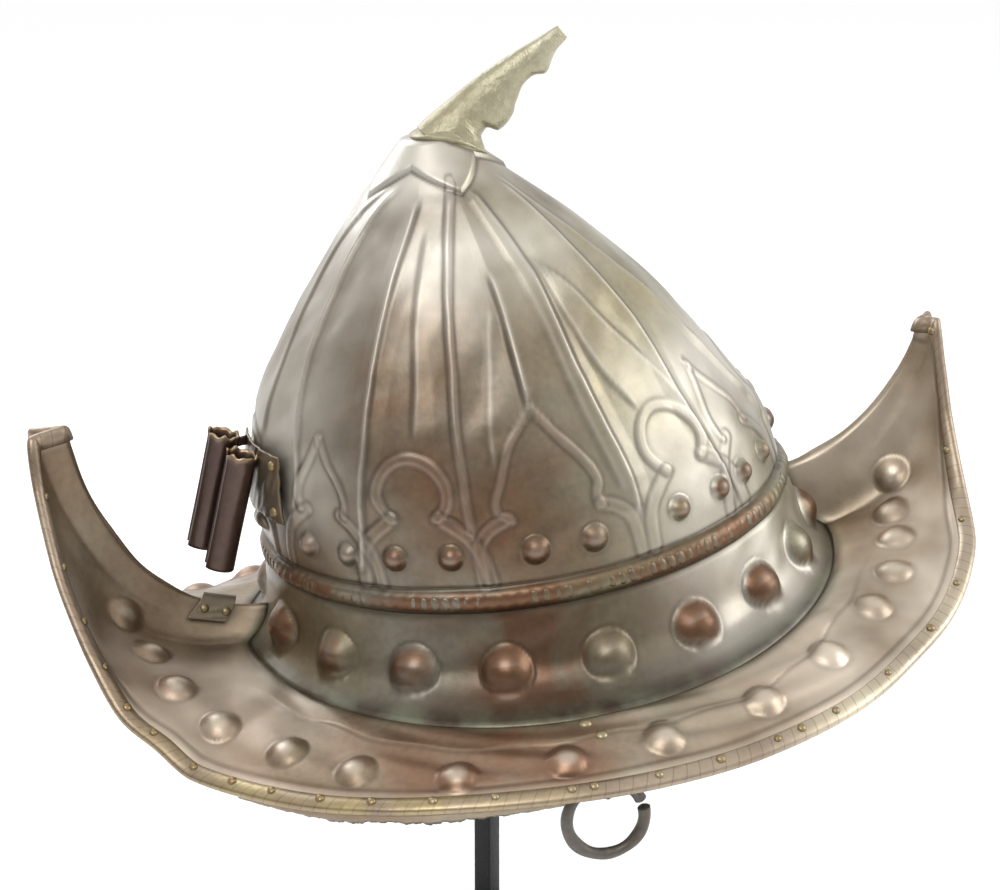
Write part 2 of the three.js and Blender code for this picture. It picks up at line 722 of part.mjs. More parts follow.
function plumeHolderSolid() {
  const pieces = TUBES.flatMap((tube) => [tubeSolid(tube), webSolid(tube)]);
  return pieces.reduce((total, solid) => total.add(solid), plateSolid());
}

// The patch lies on the flat facets between the brim's first two rows
function patchSolid() {
  const angles = brimStations(BRIM_STEP).filter((angle) => (
    angle >= PATCH_ANGLES[0] && angle <= PATCH_ANGLES[1]
  ));
  const low = SHEET / 2 + GAP + PATCH_LIFT;
  const onRow = (angle, along, offset) => {
    const start = brimPoint(angle, brimAcross(angle, BRIM_ROWS[0]), offset);
    return start.lerp(brimPoint(angle, brimAcross(angle, BRIM_ROWS[1]), offset), along);
  };
  const rings = PATCH_ALONG.map((along) => [
    ...angles.map((angle) => onRow(angle, along, low + PATCH_SHEET)),
    ...angles.slice().reverse().map((angle) => onRow(angle, along, low)),
  ]);
  return toSolid(sheetStrip(rings, angles.length));
}

// Hanging ring and its staple, in the world's frame so that the ring hangs plumb
const helmetTurn = new THREE.Euler(0, -rad(HELMET_PITCH), 0);
const helmetPlace = new THREE.Vector3(AXIS_BEHIND, 0, HELMET_LIFT).setX(
  AXIS_BEHIND * Math.cos(rad(HELMET_PITCH)),
).setZ(HELMET_LIFT + AXIS_BEHIND * Math.sin(rad(HELMET_PITCH)));
const toWorld = (point) => point.clone().applyEuler(helmetTurn).add(helmetPlace);
const ringTop = toWorld(brimPoint(RING_ANGLE, RING_ACROSS, -RING_DROP));

function arcTube(radius, wire, from, to, parts, sides, closed) {
  const rings = Array.from({ length: closed ? parts : parts + 1 }, (_, i) => {
    const turn = rad(mix(from, to, i / parts));
    return Array.from({ length: sides }, (_unused, k) => {
      const spin = (k / sides) * Math.PI * 2;
      const reach = radius + wire * Math.cos(spin);
      return new THREE.Vector3(reach * Math.cos(turn), wire * Math.sin(spin), reach * Math.sin(turn));
    });
  });
  return closed ? loft(rings) : cappedLoft(rings);
}

function ringSolid() {
  const middleTurn = RING_OPENING_TURN;
  const from = middleTurn + RING_OPENING / 2;
  const to = middleTurn + 360 - RING_OPENING / 2;
  const arc = arcTube(RING_RADIUS, RING_WIRE_RADIUS, from, to, 24, 7, false);
  arc.translate(ringTop.x, ringTop.y, ringTop.z - RING_RADIUS);
  return toSolid(arc);
}

function stapleSolid() {
  const eyeRadius = RING_WIRE_RADIUS + GAP * 2 + STAPLE_WIRE_RADIUS;
  const eye = arcTube(eyeRadius, STAPLE_WIRE_RADIUS, 0, 360, 12, 6, true);
  eye.rotateZ(Math.PI / 2);
  eye.translate(ringTop.x, ringTop.y, ringTop.z);
  const plate = new THREE.BoxGeometry(...STAPLE_PLATE);
  const plateNormal = brimNormal(RING_ANGLE, RING_ACROSS).applyEuler(helmetTurn);
  const turn = new THREE.Quaternion().setFromUnitVectors(new THREE.Vector3(0, 0, 1), plateNormal);
  plate.applyQuaternion(turn);
  const lift = eyeRadius + STAPLE_WIRE_RADIUS - STAPLE_PLATE[2] / 2 + 0.4;
  plate.translate(ringTop.x, ringTop.y, ringTop.z + lift);
  const slab = toGeometry(brimSheet(SHEET * 6, SHEET / 2 + GAP));
  slab.applyMatrix4(new THREE.Matrix4().makeRotationFromEuler(helmetTurn));
  slab.translate(...helmetPlace.toArray());
  return toSolid(eye).add(toSolid(plate)).subtract(toSolid(slab));
}

// Stand: a disc, a square post with a corner towards the photo's side, and a pad in the skull
function discSolid() {
  const outline = [
    [0, 0],
    [BASE_RADIUS - BASE_EDGE, 0],
    [BASE_RADIUS, BASE_EDGE],
    [BASE_RADIUS, BASE_THICKNESS - BASE_EDGE],
    [BASE_RADIUS - BASE_EDGE, BASE_THICKNESS],
    [0, BASE_THICKNESS],
  ].map(([x, y]) => new THREE.Vector2(x, y));
  const disc = new THREE.LatheGeometry(outline, 40);
  disc.rotateX(Math.PI / 2);
  return toSolid(outwards(dropThin(disc)));
}

// A lathe's faces at the axis have no area, so they are left out
function dropThin(geometry) {
  const bare = geometry.clone();
  bare.deleteAttribute('normal');
  bare.deleteAttribute('uv');
  const merged = mergeVertices(bare, 1e-4);
  const index = merged.getIndex();
  const kept = [];
  for (let i = 0; i < index.count; i += 3) {
    const [a, b, c] = [index.getX(i), index.getX(i + 1), index.getX(i + 2)];
    if (a !== b && b !== c && c !== a) kept.push(a, b, c);
  }
  merged.setIndex(kept);
  return merged;
}

function headSolid() {
  const core = toGeometry(skullCore(INNER_ROWS, -SHEET - GAP * 1.5));
  core.applyMatrix4(new THREE.Matrix4().makeRotationFromEuler(helmetTurn));
  core.translate(...helmetPlace.toArray());
  core.computeBoundingBox();
  const room = new THREE.CylinderGeometry(HEAD_RADIUS, HEAD_RADIUS, HEAD_HEIGHT * 2, 24);
  room.rotateX(Math.PI / 2);
  room.translate(headMiddle, 0, headUnderside + HEAD_HEIGHT);
  return toSolid(core).intersect(toSolid(room));
}

const apexHeight = toWorld(new THREE.Vector3(0, 0, SKULL_HEIGHT)).z;
const headUnderside = apexHeight - HEAD_HEIGHT;
const headMiddle = -HEAD_RADIUS / 4;

function postGeometry() {
  const height = headUnderside - GAP - (BASE_THICKNESS + GAP);
  const post = new THREE.BoxGeometry(POST_SIDE, POST_SIDE, height);
  post.rotateZ(Math.PI / 4);
  post.translate(0, 0, BASE_THICKNESS + GAP + height / 2);
  return post;
}

const BRONZE = { color: 0x6f5f48, metalness: 0.9, roughness: 0.5 };
const BRASS = { color: 0xa8894f, metalness: 0.9, roughness: 0.45 };
const IRON = { color: 0x2b2622, metalness: 0.8, roughness: 0.6 };
const BLACK = { color: 0x0c0c0d, metalness: 0.2, roughness: 0.3 };

function piece(name, geometry, look) {
  const mesh = new THREE.Mesh(geometry, new THREE.MeshStandardMaterial(look));
  mesh.name = name;
  return mesh;
}

const helmet = new THREE.Group();
helmet.name = 'helmet';
helmet.rotation.copy(helmetTurn);
helmet.position.copy(helmetPlace);
helmet.add(
  piece('skull', toGeometry(skullSolid()), BRONZE),
  piece('brim', toGeometry(brimSolid()), BRONZE),
  piece('brim_binding', toGeometry(bindingSolid()), BRASS),
  piece('edge_flap', toGeometry(flapSolid()), BRONZE),
  piece('apex_stalk', toGeometry(stalkSolid()), BRASS),
  piece('plume_holder', toGeometry(plumeHolderSolid()), BRASS),
  piece('rear_patch', toGeometry(patchSolid()), BRONZE),
);
const part = new THREE.Group();
part.name = 'morion_helmet';
part.add(
  helmet,
  piece('ring_staple', toGeometry(stapleSolid()), BRONZE),
  piece('hanging_ring', toGeometry(ringSolid()), IRON),
  piece('stand_base', toGeometry(discSolid()), BLACK),
  piece('stand_post', postGeometry(), BLACK),
  piece('stand_head', toGeometry(headSolid()), BLACK),
);

export default part;
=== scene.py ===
# %% [markdown]
# # A morion helmet of beaten bronze, on a display stand
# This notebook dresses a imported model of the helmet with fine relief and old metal.
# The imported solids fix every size, so each piece below is built on the same curves.

# %% Load the frame
import bpy
import math
import numpy as np
from mathutils import Matrix, Vector


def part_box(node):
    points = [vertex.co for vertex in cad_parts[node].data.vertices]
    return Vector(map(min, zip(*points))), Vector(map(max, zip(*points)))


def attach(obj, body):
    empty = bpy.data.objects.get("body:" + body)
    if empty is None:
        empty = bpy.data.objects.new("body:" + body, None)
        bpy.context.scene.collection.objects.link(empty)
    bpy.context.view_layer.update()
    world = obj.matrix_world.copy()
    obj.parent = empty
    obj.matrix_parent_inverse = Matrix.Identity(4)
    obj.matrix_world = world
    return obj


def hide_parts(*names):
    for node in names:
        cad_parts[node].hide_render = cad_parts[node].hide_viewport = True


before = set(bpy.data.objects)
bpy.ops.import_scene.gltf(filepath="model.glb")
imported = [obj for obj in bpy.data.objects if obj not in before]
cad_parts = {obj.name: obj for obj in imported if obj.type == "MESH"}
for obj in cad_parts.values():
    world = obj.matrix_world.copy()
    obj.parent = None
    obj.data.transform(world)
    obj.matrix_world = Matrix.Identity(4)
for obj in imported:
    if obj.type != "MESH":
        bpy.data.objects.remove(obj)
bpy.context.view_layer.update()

# %% [markdown]
# ## The helmet's own frame
# The helmet leans back on its stand. Its shape is easier to write level: millimetres, X to the
# front, the skull's foot at Z 0. One function turns such points into the stand's metres.

# %% From the helmet's frame to the stand's
HELMET_PITCH = 7.96
AXIS_BEHIND = 22.0
HELMET_LIFT = 198.0


def to_world(points):
    """Helmet millimetres to stand metres."""
    cosine, sine = math.cos(math.radians(HELMET_PITCH)), math.sin(math.radians(HELMET_PITCH))
    p = np.asarray(points, float)
    x = AXIS_BEHIND * cosine + p[..., 0] * cosine - p[..., 2] * sine
    z = HELMET_LIFT + AXIS_BEHIND * sine + p[..., 0] * sine + p[..., 2] * cosine
    return np.stack([x, p[..., 1], z], -1) / 1000.0


# %% [markdown]
# ## Camera and light
# The photograph looks slightly down on the wearer's right side. A long lens far away keeps the
# two peaks nearly level, and a pale floor with big soft lamps gives the quiet studio look.

# %% Camera
AIM_FROM_HELMET = (-12.0, 22.0, 54.6)
CAMERA_BACK = Vector((-0.17645, -0.92589, 0.33405)).normalized()
CAMERA_DISTANCE = 0.9
FOCAL_MM = 80.03

helmet_origin = Vector(to_world([0.0, 0.0, 0.0]).tolist())
aim = helmet_origin + Vector(AIM_FROM_HELMET) / 1000.0
camera_right = Vector((0, 0, 1)).cross(CAMERA_BACK).normalized()
camera_up = CAMERA_BACK.cross(camera_right)
turn = Matrix((camera_right, camera_up, CAMERA_BACK)).transposed()
lens = bpy.data.cameras.new("studio_lens")
lens.lens, lens.sensor_width, lens.sensor_fit = FOCAL_MM, 36.0, "HORIZONTAL"
camera = bpy.data.objects.new("studio_camera", lens)
camera.matrix_world = Matrix.Translation(aim + CAMERA_BACK * CAMERA_DISTANCE) @ turn.to_4x4()
bpy.context.collection.objects.link(camera)
bpy.context.scene.camera = camera
bpy.context.scene.view_settings.view_transform = "Standard"
print("camera at", tuple(round(c, 3) for c in camera.location))


# %% Colour and node helpers
def hex_colour(code, alpha=1.0):
    """An sRGB hex colour as linear RGBA."""
    parts = [int(code.lstrip("#")[i:i + 2], 16) / 255.0 for i in (0, 2, 4)]
    linear = [c / 12.92 if c <= 0.04045 else ((c + 0.055) / 1.055) ** 2.4 for c in parts]
    return (*linear, alpha)


def add_node(tree, kind, settings=None, inputs=None):
    """Adds one node, with its settings, its input values and its links."""
    made = tree.nodes.new(kind)
    for key, value in (settings or {}).items():
        setattr(made, key, value)
    for key, value in (inputs or {}).items():
        if isinstance(value, bpy.types.NodeSocket):
            tree.links.new(value, made.inputs[key])
        else:
            made.inputs[key].default_value = value
    return made


# %% Lamps, sky and floor
def soft_lamp(name, place, target, size, watts, tint="#FFFFFF"):
    """A square area lamp that looks at a target, all in metres."""
    lamp = bpy.data.lights.new(name, "AREA")
    lamp.size, lamp.energy, lamp.color = size, watts, hex_colour(tint)[:3]
    holder = bpy.data.objects.new(name, lamp)
    holder.location = place
    holder.rotation_euler = (Vector(target) - Vector(place)).to_track_quat("-Z", "Y").to_euler()
    bpy.context.collection.objects.link(holder)
    return holder


middle = (0.0, 0.0, 0.25)
soft_lamp("key_lamp", (-0.5, -0.9, 1.27), middle, 0.8, 9.0)
soft_lamp("side_lamp", (1.2, -0.3, 0.85), middle, 0.8, 8.0)
soft_lamp("back_lamp", (-0.6, 1.0, 1.0), middle, 0.8, 7.0, "#F4F7FF")

sky = bpy.data.worlds.new("studio_sky")
sky.use_nodes = True
# The sky is dimmer towards the photographer, as a dark room is, which gives bare metal its contrast
way = add_node(sky.node_tree, "ShaderNodeTexCoord").outputs["Generated"]
toward = add_node(sky.node_tree, "ShaderNodeVectorMath", {"operation": "DOT_PRODUCT"},
                  {0: way, 1: (0.45, 0.65, 0.60)}).outputs["Value"]
glow = add_node(sky.node_tree, "ShaderNodeMapRange", None,
                {"Value": toward, "From Min": -0.55, "From Max": 0.1, "To Min": 0.30, "To Max": 1.05})
sky.node_tree.links.new(glow.outputs["Result"], sky.node_tree.nodes["Background"].inputs["Strength"])
sky.node_tree.nodes["Background"].inputs["Color"].default_value = hex_colour("#FFFFFF")
bpy.context.scene.world = sky

floor_mesh = bpy.data.meshes.new("studio_floor")
reach = 6.0
floor_mesh.from_pydata([(-reach, -reach, 0), (reach, -reach, 0), (reach, reach, 0), (-reach, reach, 0)],
                       [], [(0, 1, 2, 3)])
floor = bpy.data.objects.new("studio_floor", floor_mesh)
bpy.context.collection.objects.link(floor)
paper = bpy.data.materials.new("matt paper sweep")
paper.use_nodes = True
paper.node_tree.nodes["Principled BSDF"].inputs["Base Color"].default_value = hex_colour("#FFFFFF")
paper.node_tree.nodes["Principled BSDF"].inputs["Roughness"].default_value = 0.9
floor_mesh.materials.append(paper)

# %% [markdown]
# ## The curves that every piece shares
# Sections of the skull and points of the brim's edge are short tables. A smooth curve that never
# overshoots its rows runs through each column, as a smith's template would.


# %% Curves through tables
def curve_through(xs, ys):
    """A smooth monotone curve through rows, as a function of arrays."""
    xs, ys = np.asarray(xs, float), np.asarray(ys, float)
    slope = np.diff(ys) / np.diff(xs)
    tangent = np.concatenate([[slope[0]], np.zeros(len(xs) - 2), [slope[-1]]])
    for i in range(1, len(xs) - 1):
        a, b = slope[i - 1], slope[i]
        tangent[i] = 0.0 if a * b <= 0 else 2 * a * b / (a + b)

    def curve(x):
        x = np.asarray(x, float)
        i = np.clip(np.searchsorted(xs, x, side="right") - 1, 0, len(xs) - 2)
        span = xs[i + 1] - xs[i]
        t = np.clip((x - xs[i]) / span, 0, 1)
        ease = t * t * (3 - 2 * t)
        pull = t * (1 - t) ** 2 * span * tangent[i] - t * t * (1 - t) * span * tangent[i + 1]
        return ys[i] + (ys[i + 1] - ys[i]) * ease + pull

    return curve


# Skull sections: height share of 190, front and rear of 119.5, near and far side of 118, saddle of 4.25
SKULL_HEIGHT, SKULL_LENGTH, SKULL_WIDTH, SEAM_SADDLE = 190.0, 119.5, 118.0, 4.25
SKULL_SECTIONS = np.array([
    [0.000, 1.000, 1.000, 1.000, 0.900, 1.00],
    [0.014, 0.962, 0.958, 0.930, 0.862, 1.10],
    [0.038, 0.928, 0.920, 0.845, 0.815, 1.30],
    [0.074, 0.908, 0.902, 0.798, 0.790, 1.30],
    [0.137, 0.886, 0.890, 0.770, 0.770, 1.00],
    [0.200, 0.858, 0.872, 0.748, 0.748, 0.70],
    [0.326, 0.812, 0.876, 0.728, 0.728, 0.50],
    [0.474, 0.684, 0.842, 0.668, 0.668, 0.20],
    [0.632, 0.517, 0.718, 0.543, 0.543, 0.00],
    [0.789, 0.300, 0.533, 0.364, 0.364, 0.00],
    [0.921, 0.076, 0.348, 0.191, 0.191, 0.00],
    [1.000, -0.061, 0.228, 0.085, 0.085, 0.00],
])
skull_front, skull_rear, skull_near, skull_far, skull_saddle = (
    curve_through(SKULL_SECTIONS[:, 0], SKULL_SECTIONS[:, k]) for k in range(1, 6))


def skull_base(angle, share):
    """Angle 0 is the front, 90 the near side and 180 the rear."""
    angle, share = np.broadcast_arrays(np.asarray(angle, float), np.asarray(share, float))
    front, rear = skull_front(share) * SKULL_LENGTH, skull_rear(share) * SKULL_LENGTH
    turn_ = np.radians(angle)
    side = np.where(np.sin(turn_) < 0, skull_far(share), skull_near(share)) * SKULL_WIDTH
    x = (front - rear) / 2 + (front + rear) / 2 * np.cos(turn_)
    z = share * SKULL_HEIGHT + SEAM_SADDLE * skull_saddle(share) * (x / 100) ** 2
    return np.stack([x, -side * np.sin(turn_), z], -1)


def unit(vectors):
    return vectors / np.maximum(np.linalg.norm(vectors, axis=-1, keepdims=True), 1e-9)


def skull_normal(angle, share):
    share = np.asarray(share, float)
    along = skull_base(np.asarray(angle) + 1, share) - skull_base(np.asarray(angle) - 1, share)
    up = (skull_base(angle, np.minimum(share + 0.004, 1)) - skull_base(angle, np.maximum(share - 0.004, 0)))
    return unit(np.cross(up, along))


def skull_point(angle, height, offset=0.0):
    share = np.clip(np.asarray(height, float) / SKULL_HEIGHT, 0, 1)
    return skull_base(angle, share) + skull_normal(angle, share) * np.asarray(offset)[..., None]


# Brim edge: angle, reach share of 185, rise share of 105
BRIM_REACH, PEAK_RISE, FAR_WIDTH_SHARE, FAR_DROOP, BRIM_CROWN = 185.0, 105.0, 0.9, 8.0, 2.5
BRIM_EDGE = np.array([
    [0.0, 0.908, 0.781], [1.7, 0.937, 0.781], [3.6, 0.934, 0.600], [6.0, 0.930, 0.429],
    [9.0, 0.929, 0.305], [13.0, 0.931, 0.186], [18.0, 0.934, 0.095], [24.0, 0.923, 0.029],
    [32.0, 0.897, -0.048], [42.0, 0.862, -0.095], [55.0, 0.838, -0.129], [70.0, 0.814, -0.141],
    [85.0, 0.807, -0.130], [100.0, 0.819, -0.105], [115.0, 0.846, -0.086], [130.0, 0.876, -0.084],
    [142.0, 0.903, -0.072], [149.5, 0.929, -0.048], [154.5, 0.949, 0.033], [159.5, 0.978, 0.124],
    [164.0, 0.989, 0.271], [168.0, 0.996, 0.419], [172.0, 1.002, 0.595], [176.0, 1.001, 0.829],
    [178.3, 0.990, 1.000], [180.0, 0.925, 1.000],
])
edge_reach = curve_through(BRIM_EDGE[:, 0], BRIM_EDGE[:, 1])
edge_rise = curve_through(BRIM_EDGE[:, 0], BRIM_EDGE[:, 2])


def fold(angle):
    turned = np.mod(angle, 360.0)
    return np.where(turned > 180, 360 - turned, turned)


def brim_edge(angle):
    angle = np.asarray(angle, float)
    folded, is_far = fold(angle), np.mod(angle, 360.0) > 180
    reach_ = edge_reach(folded) * BRIM_REACH
    sideways = reach_ * np.sin(np.radians(folded))
    droop = np.where(is_far, FAR_DROOP * sideways / BRIM_REACH / edge_reach(90.0), 0.0)
    y = np.where(is_far, sideways * FAR_WIDTH_SHARE, -sideways)
    return np.stack([reach_ * np.cos(np.radians(folded)), y, edge_rise(folded) * PEAK_RISE - droop], -1)


KEEL_FRONT, KEEL_REAR, KEEL_TURN = 27.5, 10.5, 5.0


def seam_share(angle):
    """The brim climbs the skull's wall to a keel at the front and rear."""
    folded = fold(angle)
    near = np.maximum(1 - np.minimum(folded, 180 - folded) / KEEL_TURN, 0)
    return np.where(folded < 90, KEEL_FRONT, KEEL_REAR) * near * near / SKULL_HEIGHT


def brim_middle(angle, across):
    """The bent line from the skull's foot to the edge, at a share of its way."""
    angle, across = np.broadcast_arrays(np.asarray(angle, float), np.asarray(across, float))
    seam, edge = skull_base(angle, seam_share(angle)), brim_edge(angle)
    t = np.clip(1 - np.minimum(fold(angle), 180 - fold(angle)) / 40, 0, 1)
    curl = t * t * (3 - 2 * t)
    reach_ = edge - seam
    crown = BRIM_CROWN * (1 - curl)

    def bend(flat, upward):
        step = reach_ * np.stack([flat, flat, upward], -1)
        step[..., 2] += crown
        return seam + step

    is_front = fold(angle) < 90
    first = bend(0.33 + 0.07 * curl, 0.33 - 0.29 * curl)
    second = bend(0.67 + np.where(is_front, 0.17, 0.26) * curl, 0.67 - np.where(is_front, 0.23, 0.47) * curl)
    s = across[..., None]
    return seam * (1 - s) ** 3 + 3 * first * s * (1 - s) ** 2 + 3 * second * s ** 2 * (1 - s) + edge * s ** 3


def brim_normal(angle, across):
    along = brim_middle(np.asarray(angle) + 0.4, across) - brim_middle(np.asarray(angle) - 0.4, across)
    outward = (brim_middle(angle, np.minimum(np.asarray(across) + 0.02, 1))
               - brim_middle(angle, np.maximum(np.asarray(across) - 0.02, 0)))
    return unit(np.cross(along, outward))


def brim_point(angle, across, offset=0.0):
    return brim_middle(angle, across) + brim_normal(angle, across) * np.asarray(offset)[..., None]


# %% Meshes from rings of points
def ring_faces(rings, size, closed_rings, closed_loop):
    """Quads between neighbouring rings of points."""
    i = np.arange(rings if closed_loop else rings - 1)[:, None]
    k = np.arange(size if closed_rings else size - 1)[None, :]
    a, b = i * size + k, i * size + (k + 1) % size
    c, d = ((i + 1) % rings) * size + k, ((i + 1) % rings) * size + (k + 1) % size
    return np.stack([a, b, d, c], -1).reshape(-1, 4)


def fanned(rings):
    """A closed tube through rings, with a fan over each end."""
    count, size = rings.shape[:2]
    points = np.concatenate([rings.reshape(-1, 3), [rings[0].mean(0), rings[-1].mean(0)]])
    last = (count - 1) * size
    faces = ring_faces(count, size, True, False).tolist()
    faces += [(len(points) - 2, (k + 1) % size, k) for k in range(size)]
    faces += [(len(points) - 1, last + k, last + (k + 1) % size) for k in range(size)]
    return points, faces


def add_piece(name, points, faces, material, world=False, marks=None, smooth=True, body="root"):
    """One object from helmet points in millimetres, faces turned outwards, riding on a body."""
    place = np.asarray(points, float) / 1000.0 if world else to_world(points)
    faces = [tuple(int(v) for v in face) for face in faces]
    first = np.array([face[:3] for face in faces])
    volume = np.einsum("ij,ij->i", place[first[:, 0]], np.cross(place[first[:, 1]], place[first[:, 2]])).sum()
    if volume < 0:
        faces = [face[::-1] for face in faces]
    mesh = bpy.data.meshes.new(name)
    mesh.from_pydata(place.tolist(), [], faces)
    mesh.validate()
    if smooth:
        mesh.shade_smooth()
    for mark, values in (marks or {}).items():
        layer = mesh.attributes.new(mark, "FLOAT", "POINT")
        layer.data.foreach_set("value", np.asarray(values, np.float32).ravel())
    mesh.materials.append(material)
    made = bpy.data.objects.new(name, mesh)
    bpy.context.collection.objects.link(made)
    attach(made, body)
    print(name, len(mesh.polygons), "faces")
    return made


# %% [markdown]
# ## Old bronze
# The helmet is copper alloy sheet, raised with hammers and left to darken. Polished high spots
# show warm copper, hollows keep brown patina, and damp seams grow a little verdigris. Shade and
# highlights are painted in too: dark at the feet and steep flanks of the relief, bright on crests and boss
# tops.
# Each relief point carries marks: hollow patina and shade, wear and highlight, green, warmth, pale tone
# and sheen, and olive. The material blends one tone after another by them. A thin clear coat stands
# for wax, and gives the neutral gloss.


# %% Patinated bronze
def patinated_metal(name, dark, warm, cool, bright, hollow_patina_and_shade, olive="#7D7660", rough=(0.34, 0.5),
                    metallic=0.85, coat=0.35, grain=90.0, bump_mm=0.12, nicks=False):
    """Beaten sheet: patina tones in patches, with wear, hollow patina, painted shade, painted highlights and
    copper where the marks say.
    """
    made = bpy.data.materials.new(name)
    made.use_nodes = True
    tree = made.node_tree
    shader = tree.nodes["Principled BSDF"]
    where = add_node(tree, "ShaderNodeTexCoord").outputs["Object"]

    def noise(scale, detail=4.0, distortion=0.0, vector=where):
        found = add_node(tree, "ShaderNodeTexNoise", None,
                         {"Vector": vector, "Scale": scale, "Detail": detail, "Distortion": distortion})
        return found.outputs["Fac"]

    def ramp(value, low, high):
        return add_node(tree, "ShaderNodeMapRange", None,
                        {"Value": value, "From Min": low, "From Max": high}).outputs["Result"]

    def blend(share, first, second):
        mixed = add_node(tree, "ShaderNodeMix", {"data_type": "RGBA"}, {0: share})
        for key, colour in ((6, first), (7, second)):
            if isinstance(colour, bpy.types.NodeSocket):
                tree.links.new(colour, mixed.inputs[key])
            else:
                mixed.inputs[key].default_value = colour
        return mixed.outputs[2]

    def mark(key):
        return add_node(tree, "ShaderNodeAttribute", {"attribute_name": key}).outputs["Fac"]

    def times(first, second):
        return add_node(tree, "ShaderNodeMath", {"operation": "MULTIPLY"}, {0: first, 1: second}).outputs[0]

    tone = blend(ramp(noise(14.0, 3.0), 0.38, 0.62), hex_colour(cool), hex_colour(dark))
    tone = blend(times(ramp(noise(18.0, 4.0), 0.25, 0.6), mark("olive")), tone, hex_colour(olive))
    tone = blend(times(ramp(noise(22.0, 5.0, 0.6), 0.38, 0.7), mark("warmth")), tone, hex_colour(warm))
    tone = blend(times(ramp(noise(320.0, 2.0), 0.35, 0.75), 0.22), tone, hex_colour(hollow_patina_and_shade))
    # Paler zones: pale tone with painted sheen
    tone = blend(times(mark("pale_tone_and_sheen"), ramp(noise(20.0, 4.0), 0.3, 0.62)), tone, hex_colour(bright))
    # Dark patina in hollows with painted shade, then wear with painted highlights
    tone = blend(mark("hollow_patina_and_shade"), tone, hex_colour(hollow_patina_and_shade))
    tone = blend(mark("worn"), tone, hex_colour(bright))
    tone = blend(times(mark("green"), ramp(noise(60.0, 5.0), 0.4, 0.7)), tone, hex_colour("#858A72"))
    if nicks:
        strip = add_node(tree, "ShaderNodeUVMap", {"uv_map": "strip"}).outputs["UV"]
        part = add_node(tree, "ShaderNodeSeparateXYZ", None, {"Vector": strip}).outputs
        leaning = add_node(tree, "ShaderNodeMath", {"operation": "MULTIPLY_ADD"},
                           {0: part["Y"], 1: 0.35, 2: part["X"]}).outputs[0]
        wander = add_node(tree, "ShaderNodeMath", {"operation": "MULTIPLY_ADD"},
                          {0: leaning, 1: 205.0, 2: noise(30.0, 2.0)}).outputs[0]
        within = add_node(tree, "ShaderNodeMath", {"operation": "FRACT"}, {0: wander}).outputs[0]
        cut = ramp(within, 0.13, 0.03)
        tone = blend(times(cut, 0.4), tone, hex_colour(hollow_patina_and_shade))
    tree.links.new(tone, shader.inputs["Base Color"])
    shader.inputs["Metallic"].default_value = metallic
    shader.inputs["Coat Weight"].default_value = coat
    shader.inputs["Coat Roughness"].default_value = 0.24
    mottled = add_node(tree, "ShaderNodeMapRange", None,
                       {"Value": noise(45.0, 6.0), "From Min": 0.3, "From Max": 0.7,
                        "To Min": rough[0], "To Max": rough[1]}).outputs["Result"]
    tree.links.new(mottled, shader.inputs["Roughness"])
    stretched = add_node(tree, "ShaderNodeMapping", None,
                         {"Vector": where, "Scale": (1.0, 1.0, 0.18)}).outputs["Vector"]
    beaten = add_node(tree, "ShaderNodeBump", None,
                      {"Height": noise(grain, 3.0), "Distance": bump_mm / 1000.0 * 3, "Strength": 0.55})
    scratched = add_node(tree, "ShaderNodeBump", None,
                         {"Height": noise(1400.0, 2.0, 0.0, stretched), "Distance": bump_mm / 1000.0,
                          "Strength": 0.3, "Normal": beaten.outputs["Normal"]})
    tree.links.new(scratched.outputs["Normal"], shader.inputs["Normal"])
    return made


# Skull sheet: raised and chased, grey-brown oxide, copper where it is handled
bronze = patinated_metal("beaten copper alloy, old patina",
                         "#6E604A", "#6E4E36", "#7E7A6E", "#C8C3B8", "#32271C",
                         olive="#8A8468", rough=(0.36, 0.54))
# Brim sheet: the same alloy, kept browner by handling
brim_bronze = patinated_metal("beaten brim sheet, brown patina",
                              "#84715A", "#84624A", "#958873", "#D2C6B4", "#433324")
# Binding: rolled brass strip, nicked with a chisel, rubbed bright by hands
strip_brass = patinated_metal("thin brass strip, rubbed",
                              "#8C7A68", "#A8976A", "#A08F7C", "#D8CDB4", "#4A3D2B",
                              rough=(0.3, 0.5), grain=200.0, nicks=True)
# Rivets: turned down from brass wire with a hammer
brass = patinated_metal("brass wire rivet heads, rubbed",
                        "#8C7752", "#B0904F", "#968A6C", "#CDB682", "#43371F",
                        rough=(0.3, 0.5), grain=200.0)
# Stalk: sand cast and filed, never patinated as deep as the sheet
cast_brass = patinated_metal("cast brass, filed", "#938A6C", "#A8926A", "#B3AF98", "#D2CDB4", "#5E563E",
                             rough=(0.36, 0.56), grain=300.0, bump_mm=0.45)
# Plume tubes: sheet rolled on a mandrel, reddish oxide
dark_tube = patinated_metal("rolled sheet, reddish patina",
                            "#54413A", "#705840", "#615248", "#9C8668", "#251A14",
                            rough=(0.3, 0.45))
# Ring and staple: forged iron, brown rust over black scale
iron = patinated_metal("wrought iron, brown rust", "#544C42", "#6A5A48", "#625D55", "#8C8070", "#28211A",
                       rough=(0.5, 0.7), metallic=0.7, grain=500.0, bump_mm=0.35)


def gloss_black(name, rough):
    made = bpy.data.materials.new(name)
    made.use_nodes = True
    tree = made.node_tree
    shader = tree.nodes["Principled BSDF"]
    shader.inputs["Specular IOR Level"].default_value = 0.28
    where = add_node(tree, "ShaderNodeTexCoord").outputs["Object"]
    peel = add_node(tree, "ShaderNodeTexNoise", None, {"Vector": where, "Scale": 400.0, "Detail": 2.0})
    shade = add_node(tree, "ShaderNodeMapRange", None,
                     {"Value": peel.outputs["Fac"], "To Min": rough, "To Max": rough + 0.12})
    tree.links.new(shade.outputs["Result"], shader.inputs["Roughness"])
    skin = add_node(tree, "ShaderNodeBump", None,
                    {"Height": peel.outputs["Fac"], "Distance": 0.00008, "Strength": 0.3})
    tree.links.new(skin.outputs["Normal"], shader.inputs["Normal"])
    shader.inputs["Base Color"].default_value = hex_colour("#0B0B0D")
    return made


stand_paint = gloss_black("baked black enamel on steel", 0.22)

